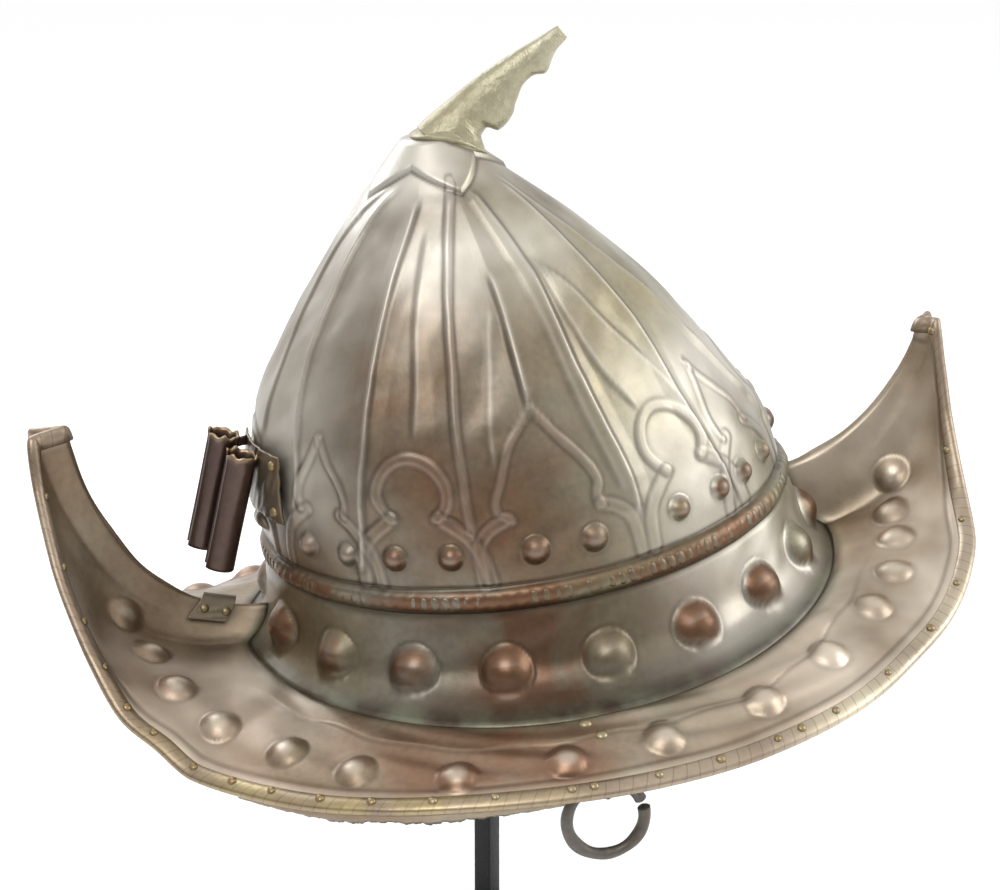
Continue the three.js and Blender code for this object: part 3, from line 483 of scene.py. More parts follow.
# %% [markdown]
# ## The skull's relief
# The smith drew the skull up from one sheet, then worked it over pitch: bosses and petals from
# behind, and the fine lines with a chasing tool from the front. Here the surface is a fine grid
# of turns and heights, moved out and in by a relief map made of those same strokes.

# %% Grid of the skull
NEAR_COLUMNS, FAR_COLUMNS = 370, 120
SHEET = 1.5
columns = np.concatenate([np.linspace(0, 180, NEAR_COLUMNS, endpoint=False),
                          np.linspace(180, 360, FAR_COLUMNS, endpoint=False)])
rows = np.concatenate([np.arange(0, 33, 1.3), np.arange(33, 98, 0.75), np.linspace(98, 168, 36),
                       np.linspace(169, SKULL_HEIGHT, 32)])
SKULL_ROWS = len(rows)
turns, heights = np.meshgrid(columns, rows)
skin = skull_base(turns, heights / SKULL_HEIGHT)
outward = skull_normal(turns, heights / SKULL_HEIGHT)
print("skull grid", skin.shape)


def hill(distance, width):
    """One at a line and nothing far from it."""
    return np.exp(-(distance / width) ** 2)


def smooth_step(low, high, value):
    t = np.clip((value - low) / (high - low), 0, 1)
    return t * t * (3 - 2 * t)


def soft_corners(points, passes=2):
    """A polyline with its corners cut."""
    p = np.asarray(points, float)
    for _ in range(passes):
        q, r = 0.75 * p[:-1] + 0.25 * p[1:], 0.25 * p[:-1] + 0.75 * p[1:]
        p = np.concatenate([p[:1], np.stack([q, r], 1).reshape(-1, 2), p[-1:]])
    return p


def line_distance(lines, reach_columns=8, reach_rows=6):
    """Distance from every grid point to the nearest chased line, in millimetres."""
    nearest = np.full(turns.shape, 99.0)
    for is_far in (False, True):
        for line in lines:
            p = soft_corners(line)
            length = np.concatenate([[0], np.cumsum(np.hypot(np.diff(p[:, 0]) * 1.3, np.diff(p[:, 1])))])
            at = np.linspace(0, length[-1], int(length[-1] / 0.7) + 2)
            side, height = np.interp(at, length, p[:, 0]), np.interp(at, length, p[:, 1])
            turn_ = (270 + side if is_far else 90 - side) % 360
            place = skull_base(turn_, height / SKULL_HEIGHT)
            column = np.searchsorted(columns, turn_)
            row = np.searchsorted(rows, height)
            for dr in range(-reach_rows, reach_rows + 1):
                for dc in range(-reach_columns, reach_columns + 1):
                    r, c = np.clip(row + dr, 0, SKULL_ROWS - 1), (column + dc) % len(columns)
                    np.minimum.at(nearest, (r, c), np.linalg.norm(skin[r, c] - place, axis=-1))
    return nearest


def uneven(u, v, seed, waves=14, low=1, high=7):
    """Hand-beaten unevenness: a few slow waves that close round the turn, from -1 to 1."""
    random = np.random.default_rng(seed)
    total = np.zeros(np.broadcast(u, v).shape)
    for _ in range(waves):
        around, along = random.integers(low, high * 3), random.uniform(low, high)
        total += np.sin(np.radians(u) * around + v * along + random.uniform(0, 6.28))
    return total / math.sqrt(waves) / 1.4


# %% Chased lines: turn in degrees from the side towards the front, and height in millimetres
# A crest has a steep flank on one side, +1 towards the front, and a gentle one of some length
CRESTS = [
    (1, 0.9, 3.0, [(-58, 177.5), (-84, 165.5), (-86, 147.5), (-82, 128), (-79, 108.5), (-78, 92)]),
    (1, 1.1, 3.5, [(-45, 177.5), (-60, 170), (-66, 156.5), (-65, 140), (-65, 126.5), (-63, 110), (-60, 98),
                   (-60, 80), (-63, 66.5)]),
    (1, 1.3, 3.5, [(-24, 174), (-29, 165.5), (-34, 153.5), (-36, 143), (-37, 128), (-38, 108.5), (-38, 95),
                   (-40, 84.5), (-42, 59), (-44, 47)]),
    (-1, 0.5, 4.0, [(-17, 164), (-21, 155), (-24, 138.5), (-24, 117.5), (-25, 98)]),
    (-1, 1.7, 7.0, [(6, 149), (6, 137), (4.5, 120), (4, 104)]),
    (-1, 0.5, 3.0, [(2, 138.5), (-2, 125), (-6, 104), (-8, 86)]),
    (1, 1.5, 4.0, [(17, 174.5), (21, 164), (22, 146), (21, 134), (19.5, 116), (20, 102.5), (20, 92),
                   (20, 81.5), (19.5, 71), (18, 57.5)]),
    (-1, 0.5, 3.0, [(14, 174.5), (16, 162.5), (17.5, 147.5), (17, 131), (16.5, 113), (17, 101), (17, 84.5),
                    (17, 68)]),
    (-1, 0.6, 4.0, [(26, 147), (26, 137), (26, 120.5), (27, 108.5), (30, 98), (31, 92)]),
    (1, 0.6, 4.0, [(26, 147.5), (34, 138.5), (36, 123.5), (42, 107), (44, 90.5)]),
    (1, 1.2, 3.5, [(47, 174), (49, 165.5), (49, 153.5), (48, 137), (48, 119), (45, 99.5), (44, 83), (43, 65),
                   (44, 45.5)]),
    (1, 0.9, 3.5, [(53, 176), (57, 162), (61, 146), (65, 130), (70, 112), (72, 92), (76, 72)]),
]
# A band has a flat top of some half width
RIB_BAND = [(5, 177.5), (-6, 165.5), (-11.5, 147.5), (-13, 132.5), (-13.5, 120.5), (-14.5, 105.5),
            (-15, 89), (-16.5, 74), (-17, 64)]
LEAF_LEFT = [(4, 104), (0, 98), (-4, 92), (-8, 80), (-10.5, 74), (-10.5, 69.5), (-8, 66.5)]
LEAF_RIGHT = [(4, 104), (5, 102), (8, 93.5), (11, 86), (13, 75.5), (10.5, 69.5), (11, 66)]
LEAF_FOOT = [(-9, 67.5), (-13.5, 64.5), (-16.5, 59), (-16.8, 52), (-17, 44)]
LEAF_FOOT_OTHER = [(11, 66.5), (14, 64.5), (16.5, 59), (16.6, 52), (16.5, 45)]
HEAD = [(-5, 70), (-7, 74), (-8, 80), (-5.5, 87.5), (-1, 92), (3, 92.2), (7, 89), (9.2, 82), (8.6, 75),
        (5.6, 70)]
FOOT = [(-5, 70), (-8.5, 66), (-12, 61), (-14, 54), (-14.6, 45)]
FOOT_OTHER = [(5.6, 70), (8.5, 66.5), (11.5, 61), (13, 54), (13.4, 45)]
POINT = [(-7, 70), (-7.5, 78), (-3, 89), (0, 98)]
POINT_OTHER = [(0, 98), (3, 89), (7.5, 78), (7, 70)]


def moved(line, by):
    return [(side + by, height) for side, height in line]


BANDS = [(0.9, 0.9, RIB_BAND), (0.8, 0.7, LEAF_LEFT), (1.0, 1.0, LEAF_RIGHT), (1.9, 0.8, LEAF_FOOT),
         (1.7, 0.8, LEAF_FOOT_OTHER)]
for by in (-29, 34, -89, 89):
    BANDS += [(1.5, 1.0, moved(HEAD, by)), (2.0, 0.8, moved(FOOT, by)), (2.0, 0.8, moved(FOOT_OTHER, by))]
for by in (-53, 56):
    BANDS += [(0.9, 0.9, moved(POINT, by)), (0.9, 0.9, moved(POINT_OTHER, by)), (1.7, 0.8, moved(FOOT, by)),
              (1.7, 0.8, moved(FOOT_OTHER, by))]

# %% Relief map
side_turns = np.where(turns <= 180, 90 - turns, turns - 270)
degree_mm = np.maximum(np.hypot(skin[..., 0] + 15 * (heights / SKULL_HEIGHT), skin[..., 1]), 8) / 57.3
relief, crest_highlight, flank_shade = (np.zeros_like(turns) for _ in range(3))
for steep, rise, run_out, line in CRESTS:
    p = soft_corners(line)[::-1]
    across_mm = (side_turns - np.interp(heights, p[:, 1], p[:, 0])) * degree_mm * steep
    there = smooth_step(p[0, 1] - 1, p[0, 1] + 5, heights) * smooth_step(p[-1, 1] + 1, p[-1, 1] - 5, heights)
    gentle, steep_side = np.exp(np.minimum(across_mm, 0) / run_out / 2.4), smooth_step(2.6, -0.6, across_mm)
    slope = np.where(across_mm < 0, gentle, steep_side)
    relief += there * 0.8 * rise * slope
    # Along each crest runs a painted highlight line, and on its steep flank a band of painted shade
    crest_highlight = np.maximum(crest_highlight, there * min(rise, 1) * hill(across_mm + 0.2, 0.7))
    flank_shade = np.maximum(flank_shade, there * min(rise, 1) * hill(across_mm - 1.5, 1.2))
print("crests raised")

band_edge_highlight, band_foot_shade = np.zeros_like(turns), np.zeros_like(turns)
for half_width, rise, line in BANDS:
    near_line = line_distance([line])
    rise = 0.55 * rise
    top = rise * smooth_step(half_width + 1.3, half_width - 0.3, near_line)
    relief = relief + top * (1 - 0.4 * smooth_step(0.3, 1.2, relief))
    # The band's edge gets a painted highlight, and the sheet just beside it painted shade
    band_edge_highlight = np.maximum(band_edge_highlight, hill(near_line - half_width + 0.3, 0.8))
    band_foot_shade = np.maximum(band_foot_shade, hill(near_line - half_width - 1.2, 0.8))
print("bands raised")

# Between two main ribs the sheet is nearly flat, which gives the skull its facets
main_ribs = [np.interp(rows, soft_corners(CRESTS[k][3])[::-1, 1], soft_corners(CRESTS[k][3])[::-1, 0])
             for k in (0, 1, 2, 4, 6, 10, 11)]
main_ribs.insert(3, np.interp(rows, soft_corners(RIB_BAND)[::-1, 1], soft_corners(RIB_BAND)[::-1, 0]))
ribs_by_row = np.sort(np.stack(main_ribs), axis=0)
for low, high in zip(ribs_by_row[:-1], ribs_by_row[1:]):
    half = (high - low)[:, None] / 2
    away = side_turns - (high + low)[:, None] / 2
    inside = np.abs(away) < half
    bow = (half ** 2 - away ** 2) * degree_mm / 57.3 / 2
    relief -= (np.where(inside, np.minimum(1.05 * bow, 1.15), 0)
               * smooth_step(46, 70, heights) * smooth_step(182, 165, heights))

ROPE_HEIGHT = 38.0
from_rope = heights - ROPE_HEIGHT
beat = 0.12 * uneven(turns * 9, heights * 0, 21) + 0.1 * np.sin(np.radians(turns * 131) + from_rope * 0.7)
relief = np.where(np.abs(from_rope) < 7, relief * smooth_step(3.5, 7, np.abs(from_rope)), relief)
relief += (2.6 + beat) * np.sqrt(np.clip(1 - (from_rope / 4.3) ** 2, 0, 1))
rope_lines = np.abs(np.abs(from_rope) - 4.9)
relief -= 0.45 * hill(rope_lines, 0.9)


def dome(turn_, height, radius, rise, sharp=2.2):
    """Height of a boss over the whole grid, and the distance from its rim."""
    distance = np.linalg.norm(skin - skull_base(turn_, height / SKULL_HEIGHT), axis=-1)
    return rise * np.clip(1 - (distance / radius) ** sharp, 0, 1), distance - radius


bosses, boss_rim, below = np.zeros_like(turns), np.full_like(turns, 99.0), np.zeros_like(turns)
BASE_BOSSES = [9.5, 29, 48, 67, 86, 106, 125, 144, 164]
for angle in BASE_BOSSES:
    for turn_ in (angle, 360 - angle):
        lift, rim = dome(turn_, 12.0, 9.9, 6.0)
        bosses, boss_rim = np.maximum(bosses, lift), np.minimum(boss_rim, np.abs(rim - 0.3))
        # Painted shadow on the sheet just below each base boss
        below = np.maximum(below, hill((heights - 8) / 5, 1) * smooth_step(0, 1.5, lift))
MOTIF_TURNS = [(-89, 4.8), (-53, 4.6), (-29, 4.8), (1, 5.4), (34, 4.8), (56, 4.6), (89, 4.8)]
for by, radius in MOTIF_TURNS:
    for sign in (-1, 1):
        for turn_ in (90 - by - sign * 6.2, 270 + by + sign * 6.2):
            lift, rim = dome(turn_ % 360, 55.0, radius, 3.2)
            bosses, boss_rim = np.maximum(bosses, lift), np.minimum(boss_rim, np.abs(rim - 0.3))
relief = relief * smooth_step(0.6, 0.0, bosses) + bosses
relief -= 0.08 * hill(boss_rim, 1.0)

# The cap plate at the top has four corners that point down, and covers the ends of the ribs
from_corner = np.abs(np.mod(turns - 80 + 45, 90) - 45)
cap_low = 182.8 - 9.5 * np.clip(1 - from_corner / 45, 0, 1) ** 1.25
relief *= smooth_step(1.5, -5.0, heights - cap_low)
relief += 1.3 * smooth_step(-0.8, 0.9, heights - cap_low)
cap_edge = np.abs(heights - cap_low + 1.0)
dents = 0.42 * uneven(turns, heights / 40, 5) + 0.16 * uneven(turns * 2, heights / 12, 6)
relief += dents * smooth_step(0, 12, heights) * smooth_step(176, 135, heights)
relief *= smooth_step(-1, 4, heights)
print("relief from", round(float(relief.min()), 2), "to", round(float(relief.max()), 2), "mm")

# %% Marks for the patina, wear, painted shade and painted highlights
# Dark: patina in the grooves beside the rope; painted shade round the bosses, under the base bosses, at the
# band feet, on the steep crest flanks, under the cap's edge and at the skull's foot; and darker low on the
# front below the rope
hollow_patina_and_shade = np.clip(0.22 * hill(boss_rim, 1.2) + 0.75 * hill(rope_lines, 1.0) + 0.4 * band_foot_shade + 0.5 * flank_shade
                 + 0.75 * hill(heights - 1.0, 2.0) + 0.7 * hill(cap_edge, 0.7) + 0.2 * below
                 + 0.4 * smooth_step(36, 30, heights) * hill((side_turns + 6) / 34, 1) * (bosses <= 0.2),
                 0, 0.85)
# Bright: painted highlight along the crests and band edges, and wear with painted highlight on the boss tops
worn = np.clip(0.42 * crest_highlight + 0.16 * band_edge_highlight + 0.12 * smooth_step(3.6, 6, bosses) * (heights > 13)
               + 0.16 * smooth_step(1.8, 3.2, bosses) * (heights > 40), 0, 0.6)
green = np.clip(0.6 * smooth_step(5, 1, heights) + 0.1 * hill(rope_lines, 2.0), 0, 1)
lower_band = smooth_step(45, 34, heights)
# Copper tone on the bosses, the rope and some zones; along the near side's band edges it is a painted
# highlight
warmth = (0.25 + 1.0 * hill((side_turns + 27) / 13, 1) * hill((heights - 108) / 42, 1)
          + 2.6 * smooth_step(0.8, 3.0, bosses) + 2.4 * hill(from_rope, 3.6)
          + 0.6 * band_edge_highlight * (turns < 180) + 2.4 * lower_band * hill((side_turns + 4) / 24, 1)
          + 1.0 * hill((heights - 60) / 22, 1) * hill((side_turns + 4) / 18, 1)
          + 0.6 * hill((side_turns - 6) / 10, 1) * hill((heights - 110) / 30, 1))
# Paler towards the top and on a rear and a front zone of the sides: painted sheen where the light falls, over
# a pale tone
pale_tone_and_sheen = np.clip(0.9 * smooth_step(118, 165, heights)
               + 0.65 * smooth_step(-34, -60, side_turns) * smooth_step(44, 50, heights)
               * smooth_step(150, 95, heights)
               + 0.8 * smooth_step(2, 42, side_turns) * smooth_step(130, 100, heights)
               * (1 - smooth_step(0.5, 2, bosses)) * (np.abs(from_rope) > 5), 0, 1)
olive = np.clip(smooth_step(-5, 25, side_turns) * smooth_step(0, 60, heights) * (turns < 180)
                + 0.3 * lower_band, 0, 1)

# %% Skull as one closed sheet
outer = skin + outward * relief[..., None]
INNER_ROWS = [0, 0.012, 0.03, 0.055, 0.09, 0.16, 0.28, 0.42, 0.56, 0.7, 0.82, 0.92, 1.0]
inner_heights = np.array(INNER_ROWS) * SKULL_HEIGHT
inner = skull_point(*np.meshgrid(columns, inner_heights), -SHEET)
size = len(columns)
points = np.concatenate([inner[::-1].reshape(-1, 3), outer.reshape(-1, 3)])
ring_count = len(inner_heights) + SKULL_ROWS
faces = ring_faces(ring_count, size, True, False).tolist()
top_middle = skull_base(columns, 1.0).mean(0)
points = np.concatenate([points, [top_middle + [0, 0, 0.75], top_middle + [0, 0, 2.25]]])
inside_top, outside_top = len(points) - 2, len(points) - 1
last = (ring_count - 1) * size
faces += [(inside_top, (k + 1) % size, k) for k in range(size)]
faces += [(outside_top, last + k, last + (k + 1) % size) for k in range(size)]


def with_inner(values, extra=2):
    return np.concatenate([np.zeros(inner.shape[0] * size), values.ravel(), np.zeros(extra)])


skull = add_piece("skull_sheet", points, faces, bronze,
                  marks={"hollow_patina_and_shade": with_inner(hollow_patina_and_shade), "worn": with_inner(worn), "green": with_inner(green),
                         "warmth": with_inner(warmth), "pale_tone_and_sheen": with_inner(pale_tone_and_sheen), "olive": with_inner(olive)})
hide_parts("skull")

# %% [markdown]
# ## The brim
# A separate sheet, hammered up into the two peaks and folded over the skull's foot. Its row of
# bosses is punched from below. A lap line shows where a repair strip lies near the skull.

# %% Grid of the brim
BRIM_GAP = 0.3
stations = []
for (a0, *_), (a1, *_) in zip(BRIM_EDGE[:-1], BRIM_EDGE[1:]):
    run = np.linalg.norm(brim_edge(a1) - brim_edge(a0))
    parts = max(1, math.ceil(run / 1.5))
    stations += [a0 + (a1 - a0) * k / parts for k in range(parts)]
stations = np.array(stations + [180.0] + [360 - a for a in reversed(stations[1:])])
ACROSS_ROWS = 58
run = np.linalg.norm(brim_middle(stations, 0.05) - brim_middle(stations, 0.0), axis=-1) / 0.05
start = -0.5 / run
shares = np.linspace(0, 1, ACROSS_ROWS)
across = start[None, :] + (1 - start[None, :]) * shares[:, None]
around = np.broadcast_to(stations, across.shape)
brim_skin = brim_middle(around, across)
brim_out = brim_normal(around, across)
print("brim grid", brim_skin.shape)

BRIM_BOSSES = [(4, .48), (9.5, .40), (16.5, .40), (26, .44), (35.5, .44), (50, .44), (65.5, .51), (83, .52),
               (98, .58), (113.5, .67), (128.5, .63), (140.5, .57), (152.5, .57), (162, .51),
               (170.5, .48), (176, .56)]
boss_lift, brim_rim = np.zeros(across.shape), np.full(across.shape, 99.0)
for angle, share in BRIM_BOSSES:
    # The far side keeps none behind 160 degrees, where they would stand over the rear keel
    for place in (angle, 360 - angle)[:2 if angle < 160 else 1]:
        distance = np.linalg.norm(brim_skin - brim_middle(place, share), axis=-1)
        boss_lift = np.maximum(boss_lift, 3.0 * np.clip(1 - (distance / 7.6) ** 2.0, 0, 1))
        brim_rim = np.minimum(brim_rim, np.abs(distance - 7.8))
from_foot = across * run[None, :]
is_near = hill((around - 90) / 62, 1) * (around < 180)
lap = from_foot - 11.5 - 1.6 * np.sin(np.radians(around * 7)) - 0.8 * np.sin(np.radians(around * 23))
lap_here = smooth_step(0.2, 0.6, is_near)
brim_relief = boss_lift - 0.12 * hill(brim_rim, 1.0) + 0.55 * smooth_step(0.9, -0.9, lap) * lap_here
brim_relief += 0.5 * uneven(around, across * 4, 11) * (1 - boss_lift / 3.0) * smooth_step(1.0, 0.9, across)
edge_line = np.linalg.norm(brim_skin - brim_middle(stations, 1.0)[None], axis=-1)
brim_relief -= 0.3 * hill(edge_line - 8.5, 0.8)
# Dark: painted shade round the bosses and at the brim's foot against the skull, a dark line along the lap's
# edge, and dark in the groove near the edge
brim_patina_and_shade = np.clip(0.18 * hill(brim_rim, 1.4) + 0.5 * hill(lap - 0.4, 0.8) * lap_here
                      + 0.5 * hill(edge_line - 8.5, 0.9) + 0.8 * smooth_step(4, 0, from_foot), 0, 0.9)
# Bright: painted highlight with wear on the boss tops, and wear near the edge
brim_wear_and_highlight = np.clip(0.55 * smooth_step(1.9, 3.0, boss_lift) + 0.3 * smooth_step(8, 5, edge_line), 0, 0.8)
brim_green = np.clip(0.55 * smooth_step(6, 1, from_foot) + 0.3 * hill((around - 78) / 20, 1)
                     * smooth_step(20, 5, from_foot), 0, 1)
brim_warmth = 0.35 + 0.9 * hill((around - 95) / 34, 1) + 0.7 * hill(boss_lift - 1.3, 0.9)
# Paler on the front flanks and at the rear peak: pale tone with painted sheen
brim_pale_tone_and_sheen = np.clip(1.1 * hill((around - 30) / 38, 1) + 0.6 * hill((around - 158) / 12, 1), 0, 1)
brim_relief = brim_relief * smooth_step(0, 0.03, shares)[:, None]
above = brim_skin + brim_out * (SHEET / 2 + brim_relief)[..., None]
under_rows = [0, 12, 24, 36, 46, 57]
below = (brim_skin - brim_out * (SHEET / 2))[under_rows]
rings = np.concatenate([above, below[::-1]]).transpose(1, 0, 2)
points = rings.reshape(-1, 3)


def with_under(values):
    padded = np.concatenate([values, np.zeros((len(under_rows), values.shape[1]))])
    return padded.T.ravel()


brim = add_piece("brim_sheet", points, ring_faces(rings.shape[0], rings.shape[1], True, True), brim_bronze,
                 marks={"hollow_patina_and_shade": with_under(brim_patina_and_shade), "worn": with_under(brim_wear_and_highlight),
                        "green": with_under(brim_green), "warmth": with_under(brim_warmth),
                        "pale_tone_and_sheen": with_under(brim_pale_tone_and_sheen)})
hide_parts("brim")

# %% [markdown]
# ## Edge binding
# A strip of thin brass is folded over the whole edge, so that the sheet can't cut a hand. The
# smith nicked it with slanted chisel cuts and pinned it with small rivets.

# %% Binding strip
def edge_frame(angle, offset_across, up):
    """Points beside the edge: across towards the skull, and up."""
    angle = np.asarray(angle, float)
    first_run = np.linalg.norm(brim_middle(angle, 0.05) - brim_middle(angle, 0.0), axis=-1) / 0.05
    step = (0.3 + BRIM_GAP) / first_run
    inner_share = step + (1 - step) * 0.7
    start_ = brim_point(angle, np.ones_like(angle), np.full_like(angle, up))
    inward = unit(brim_point(angle, inner_share, np.full_like(angle, up)) - start_)
    tangent = unit(brim_middle(angle + 0.4, 1.0) - brim_middle(angle - 0.4, 1.0))
    slant = np.maximum(np.linalg.norm(np.cross(inward, tangent), axis=-1), 0.25)
    reach_ = offset_across / slant if offset_across < 0 else offset_across * np.ones_like(slant)
    return start_ + inward * reach_[:, None]


INSIDE, BINDING_SHEET = SHEET / 2 + 0.6, 0.7
OUTSIDE = INSIDE + BINDING_SHEET
profile = [(5.0, INSIDE - 0.4), (2.5, INSIDE), (-0.6, INSIDE), (-0.6, -INSIDE), (2.5, -INSIDE),
           (5.0, -INSIDE), (5.2, -OUTSIDE + 0.2), (4.8, -OUTSIDE), (2.4, -OUTSIDE), (0.2, -OUTSIDE + 0.1),
           (-0.9, -1.2), (-1.25, -0.5), (-1.25, 0.5), (-0.9, 1.2), (0.2, OUTSIDE - 0.15),
           (2.4, OUTSIDE - 0.1), (4.8, OUTSIDE - 0.35), (5.3, OUTSIDE - 0.9)]
section = np.stack([edge_frame(stations, a, u) for a, u in profile], 1)
along_edge = np.concatenate([[0], np.cumsum(np.linalg.norm(np.diff(brim_edge(stations), axis=0), axis=-1))])
total = along_edge[-1] + np.linalg.norm(brim_edge(stations[-1]) - brim_edge(0.0))
rubbed = hill((fold(stations) - 128) / 26, 1) * (stations < 180) * 1.6
# Paler on the front flanks
paler_front_flank = 0.75 * hill((fold(stations) - 45) / 30, 1)
strip_marks = {"warmth": np.repeat(rubbed, len(profile)), "pale_tone_and_sheen": np.repeat(paler_front_flank, len(profile))}
strip_faces = ring_faces(len(stations), len(profile), True, True)
binding = add_piece("edge_binding", section.reshape(-1, 3), strip_faces, strip_brass, marks=strip_marks)
around_profile = np.concatenate([[0], np.cumsum(np.hypot(*np.diff(np.array(profile), axis=0).T))])
layer = binding.data.uv_layers.new(name="strip")
ends = np.append(along_edge, total)
flat = []
for polygon in binding.data.polygons:
    at = [(v // len(profile), v % len(profile)) for v in polygon.vertices]
    wraps = max(i for i, _ in at) - min(i for i, _ in at) > 1
    turns_over = max(k for _, k in at) - min(k for _, k in at) > 1
    for i, k in at:
        u = ends[len(stations)] if wraps and i == 0 else ends[i]
        v = around_profile[-1] + 0.4 if turns_over and k == 0 else around_profile[k]
        flat += [u / 1000, v / 1000]
layer.data.foreach_set("uv", flat)
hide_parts("brim_binding")
print("edge is", round(total), "mm round")

# %% [markdown]
# ## Small parts that repeat
# Rivets and rope strands are one shape set many times. A Geometry Nodes tree holds
# the shape, and the script only says where the places are and which way is out.


# %% Two small node trees
def repeat_tree(name, along_line):
    """A tree that sets one dome or strand on every place of a mesh."""
    tree = bpy.data.node_groups.new(name, "GeometryNodeTree")
    tree.is_modifier = True
    tree.interface.new_socket("Geometry", in_out="INPUT", socket_type="NodeSocketGeometry")
    sizes = [("Length", 0.004), ("Width", 0.003), ("Rise", 0.002), ("Slant", 0.0), ("Sink", 0.0)]
    sockets = {}
    for label, value in sizes:
        made = tree.interface.new_socket(label, in_out="INPUT", socket_type="NodeSocketFloat")
        made.default_value = value
        sockets[label] = made.identifier
    for label, value in (("Count", 10), ("Seed", 7)):
        made = tree.interface.new_socket(label, in_out="INPUT", socket_type="NodeSocketInt")
        made.default_value = value
        sockets[label] = made.identifier
    made = tree.interface.new_socket("Material", in_out="INPUT", socket_type="NodeSocketMaterial")
    sockets["Material"] = made.identifier
    tree.interface.new_socket("Geometry", in_out="OUTPUT", socket_type="NodeSocketGeometry")
    given = add_node(tree, "NodeGroupInput").outputs
    facing = add_node(tree, "GeometryNodeInputNamedAttribute", {"data_type": "FLOAT_VECTOR"},
                      {"Name": "facing"})
    direction = facing.outputs["Attribute"]
    ball = add_node(tree, "GeometryNodeMeshUVSphere", None, {"Segments": 14, "Rings": 8, "Radius": 0.5})
    scale = add_node(tree, "ShaderNodeCombineXYZ", None, {"X": given["Length"], "Y": given["Width"],
                                                         "Z": given["Rise"]})
    double = add_node(tree, "ShaderNodeVectorMath", {"operation": "MULTIPLY"},
                      {0: scale.outputs["Vector"], 1: (1.0, 1.0, 2.0)})
    shape = add_node(tree, "GeometryNodeTransform", None, {"Geometry": ball.outputs["Mesh"],
                                                           "Scale": double.outputs["Vector"]})
    spun = add_node(tree, "GeometryNodeTransform", None, {"Geometry": shape.outputs["Geometry"]})
    spin = add_node(tree, "ShaderNodeCombineXYZ", None, {"Z": given["Slant"]})
    tree.links.new(spin.outputs["Vector"], spun.inputs["Rotation"])
    places = given["Geometry"]
    turned = add_node(tree, "FunctionNodeAlignRotationToVector", {"axis": "Z"}, {"Vector": direction})
    rotation = turned.outputs["Rotation"]
    if along_line:
        line = add_node(tree, "GeometryNodeMeshToCurve", None, {"Mesh": given["Geometry"]})
        even = add_node(tree, "GeometryNodeResampleCurve", None, {"Curve": line.outputs["Curve"],
                                                                  "Count": given["Count"]})
        places = even.outputs["Curve"]
        tangent = add_node(tree, "GeometryNodeInputTangent").outputs["Tangent"]
        aligned = add_node(tree, "FunctionNodeAlignRotationToVector", {"axis": "X", "pivot_axis": "Z"},
                           {"Rotation": rotation, "Vector": tangent})
        rotation = aligned.outputs["Rotation"]
    varied = add_node(tree, "FunctionNodeRandomValue", {"data_type": "FLOAT"}, {"Seed": given["Seed"]})
    varied.inputs[2].default_value, varied.inputs[3].default_value = 0.88, 1.12
    copies = add_node(tree, "GeometryNodeInstanceOnPoints", None,
                      {"Points": places, "Instance": spun.outputs["Geometry"], "Rotation": rotation,
                       "Scale": varied.outputs[1]})
    real = add_node(tree, "GeometryNodeRealizeInstances", None, {"Geometry": copies.outputs["Instances"]})
    smooth = add_node(tree, "GeometryNodeSetShadeSmooth", None, {"Geometry": real.outputs["Geometry"]})
    painted = add_node(tree, "GeometryNodeSetMaterial", None, {"Geometry": smooth.outputs["Geometry"],
                                                               "Material": given["Material"]})
    add_node(tree, "NodeGroupOutput", None, {"Geometry": painted.outputs["Geometry"]})
    return tree, sockets


dome_tree = repeat_tree("domes on places", False)
strand_tree = repeat_tree("strands along a line", True)


def repeat(name, kind, places, facing, material, body="root", closed=False, **values):
    """Copies of a dome or strand at helmet points, applied to one real mesh."""
    tree, sockets = kind
    mesh = bpy.data.meshes.new(name + "_places")
    world = to_world(places)
    ahead = unit(to_world(np.asarray(places) + np.asarray(facing)) - world)
    count = len(world)
    steps = range(count if closed else count - 1)
    edges = [(i, (i + 1) % count) for i in steps] if kind is strand_tree else []
    mesh.from_pydata(world.tolist(), edges, [])
    layer_ = mesh.attributes.new("facing", "FLOAT_VECTOR", "POINT")
    layer_.data.foreach_set("vector", ahead.astype(np.float32).ravel())
    seed_object = bpy.data.objects.new(name, mesh)
    bpy.context.collection.objects.link(seed_object)
    modifier = seed_object.modifiers.new("repeat", "NODES")
    modifier.node_group = tree
    modifier[sockets["Material"]] = material
    for label, value in values.items():
        modifier[sockets[label]] = value
    ready = seed_object.evaluated_get(bpy.context.evaluated_depsgraph_get())
    real = bpy.data.meshes.new_from_object(ready)
    seed_object.modifiers.clear()
    seed_object.data = real
    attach(seed_object, body)
    print(name, len(real.polygons), "faces")
    return seed_object


# %% Rope band round the skull
rope_turns = np.linspace(0, 360, 240, endpoint=False)
rope_path = skull_point(rope_turns, np.full(240, ROPE_HEIGHT), np.full(240, 1.9))
rope_out = skull_normal(rope_turns, np.full(240, ROPE_HEIGHT / SKULL_HEIGHT))
rope = repeat("rope_strands", strand_tree, rope_path, rope_out, bronze, closed=True,
              Count=150, Length=0.0038, Width=0.0052, Rise=0.00075, Slant=0.2)

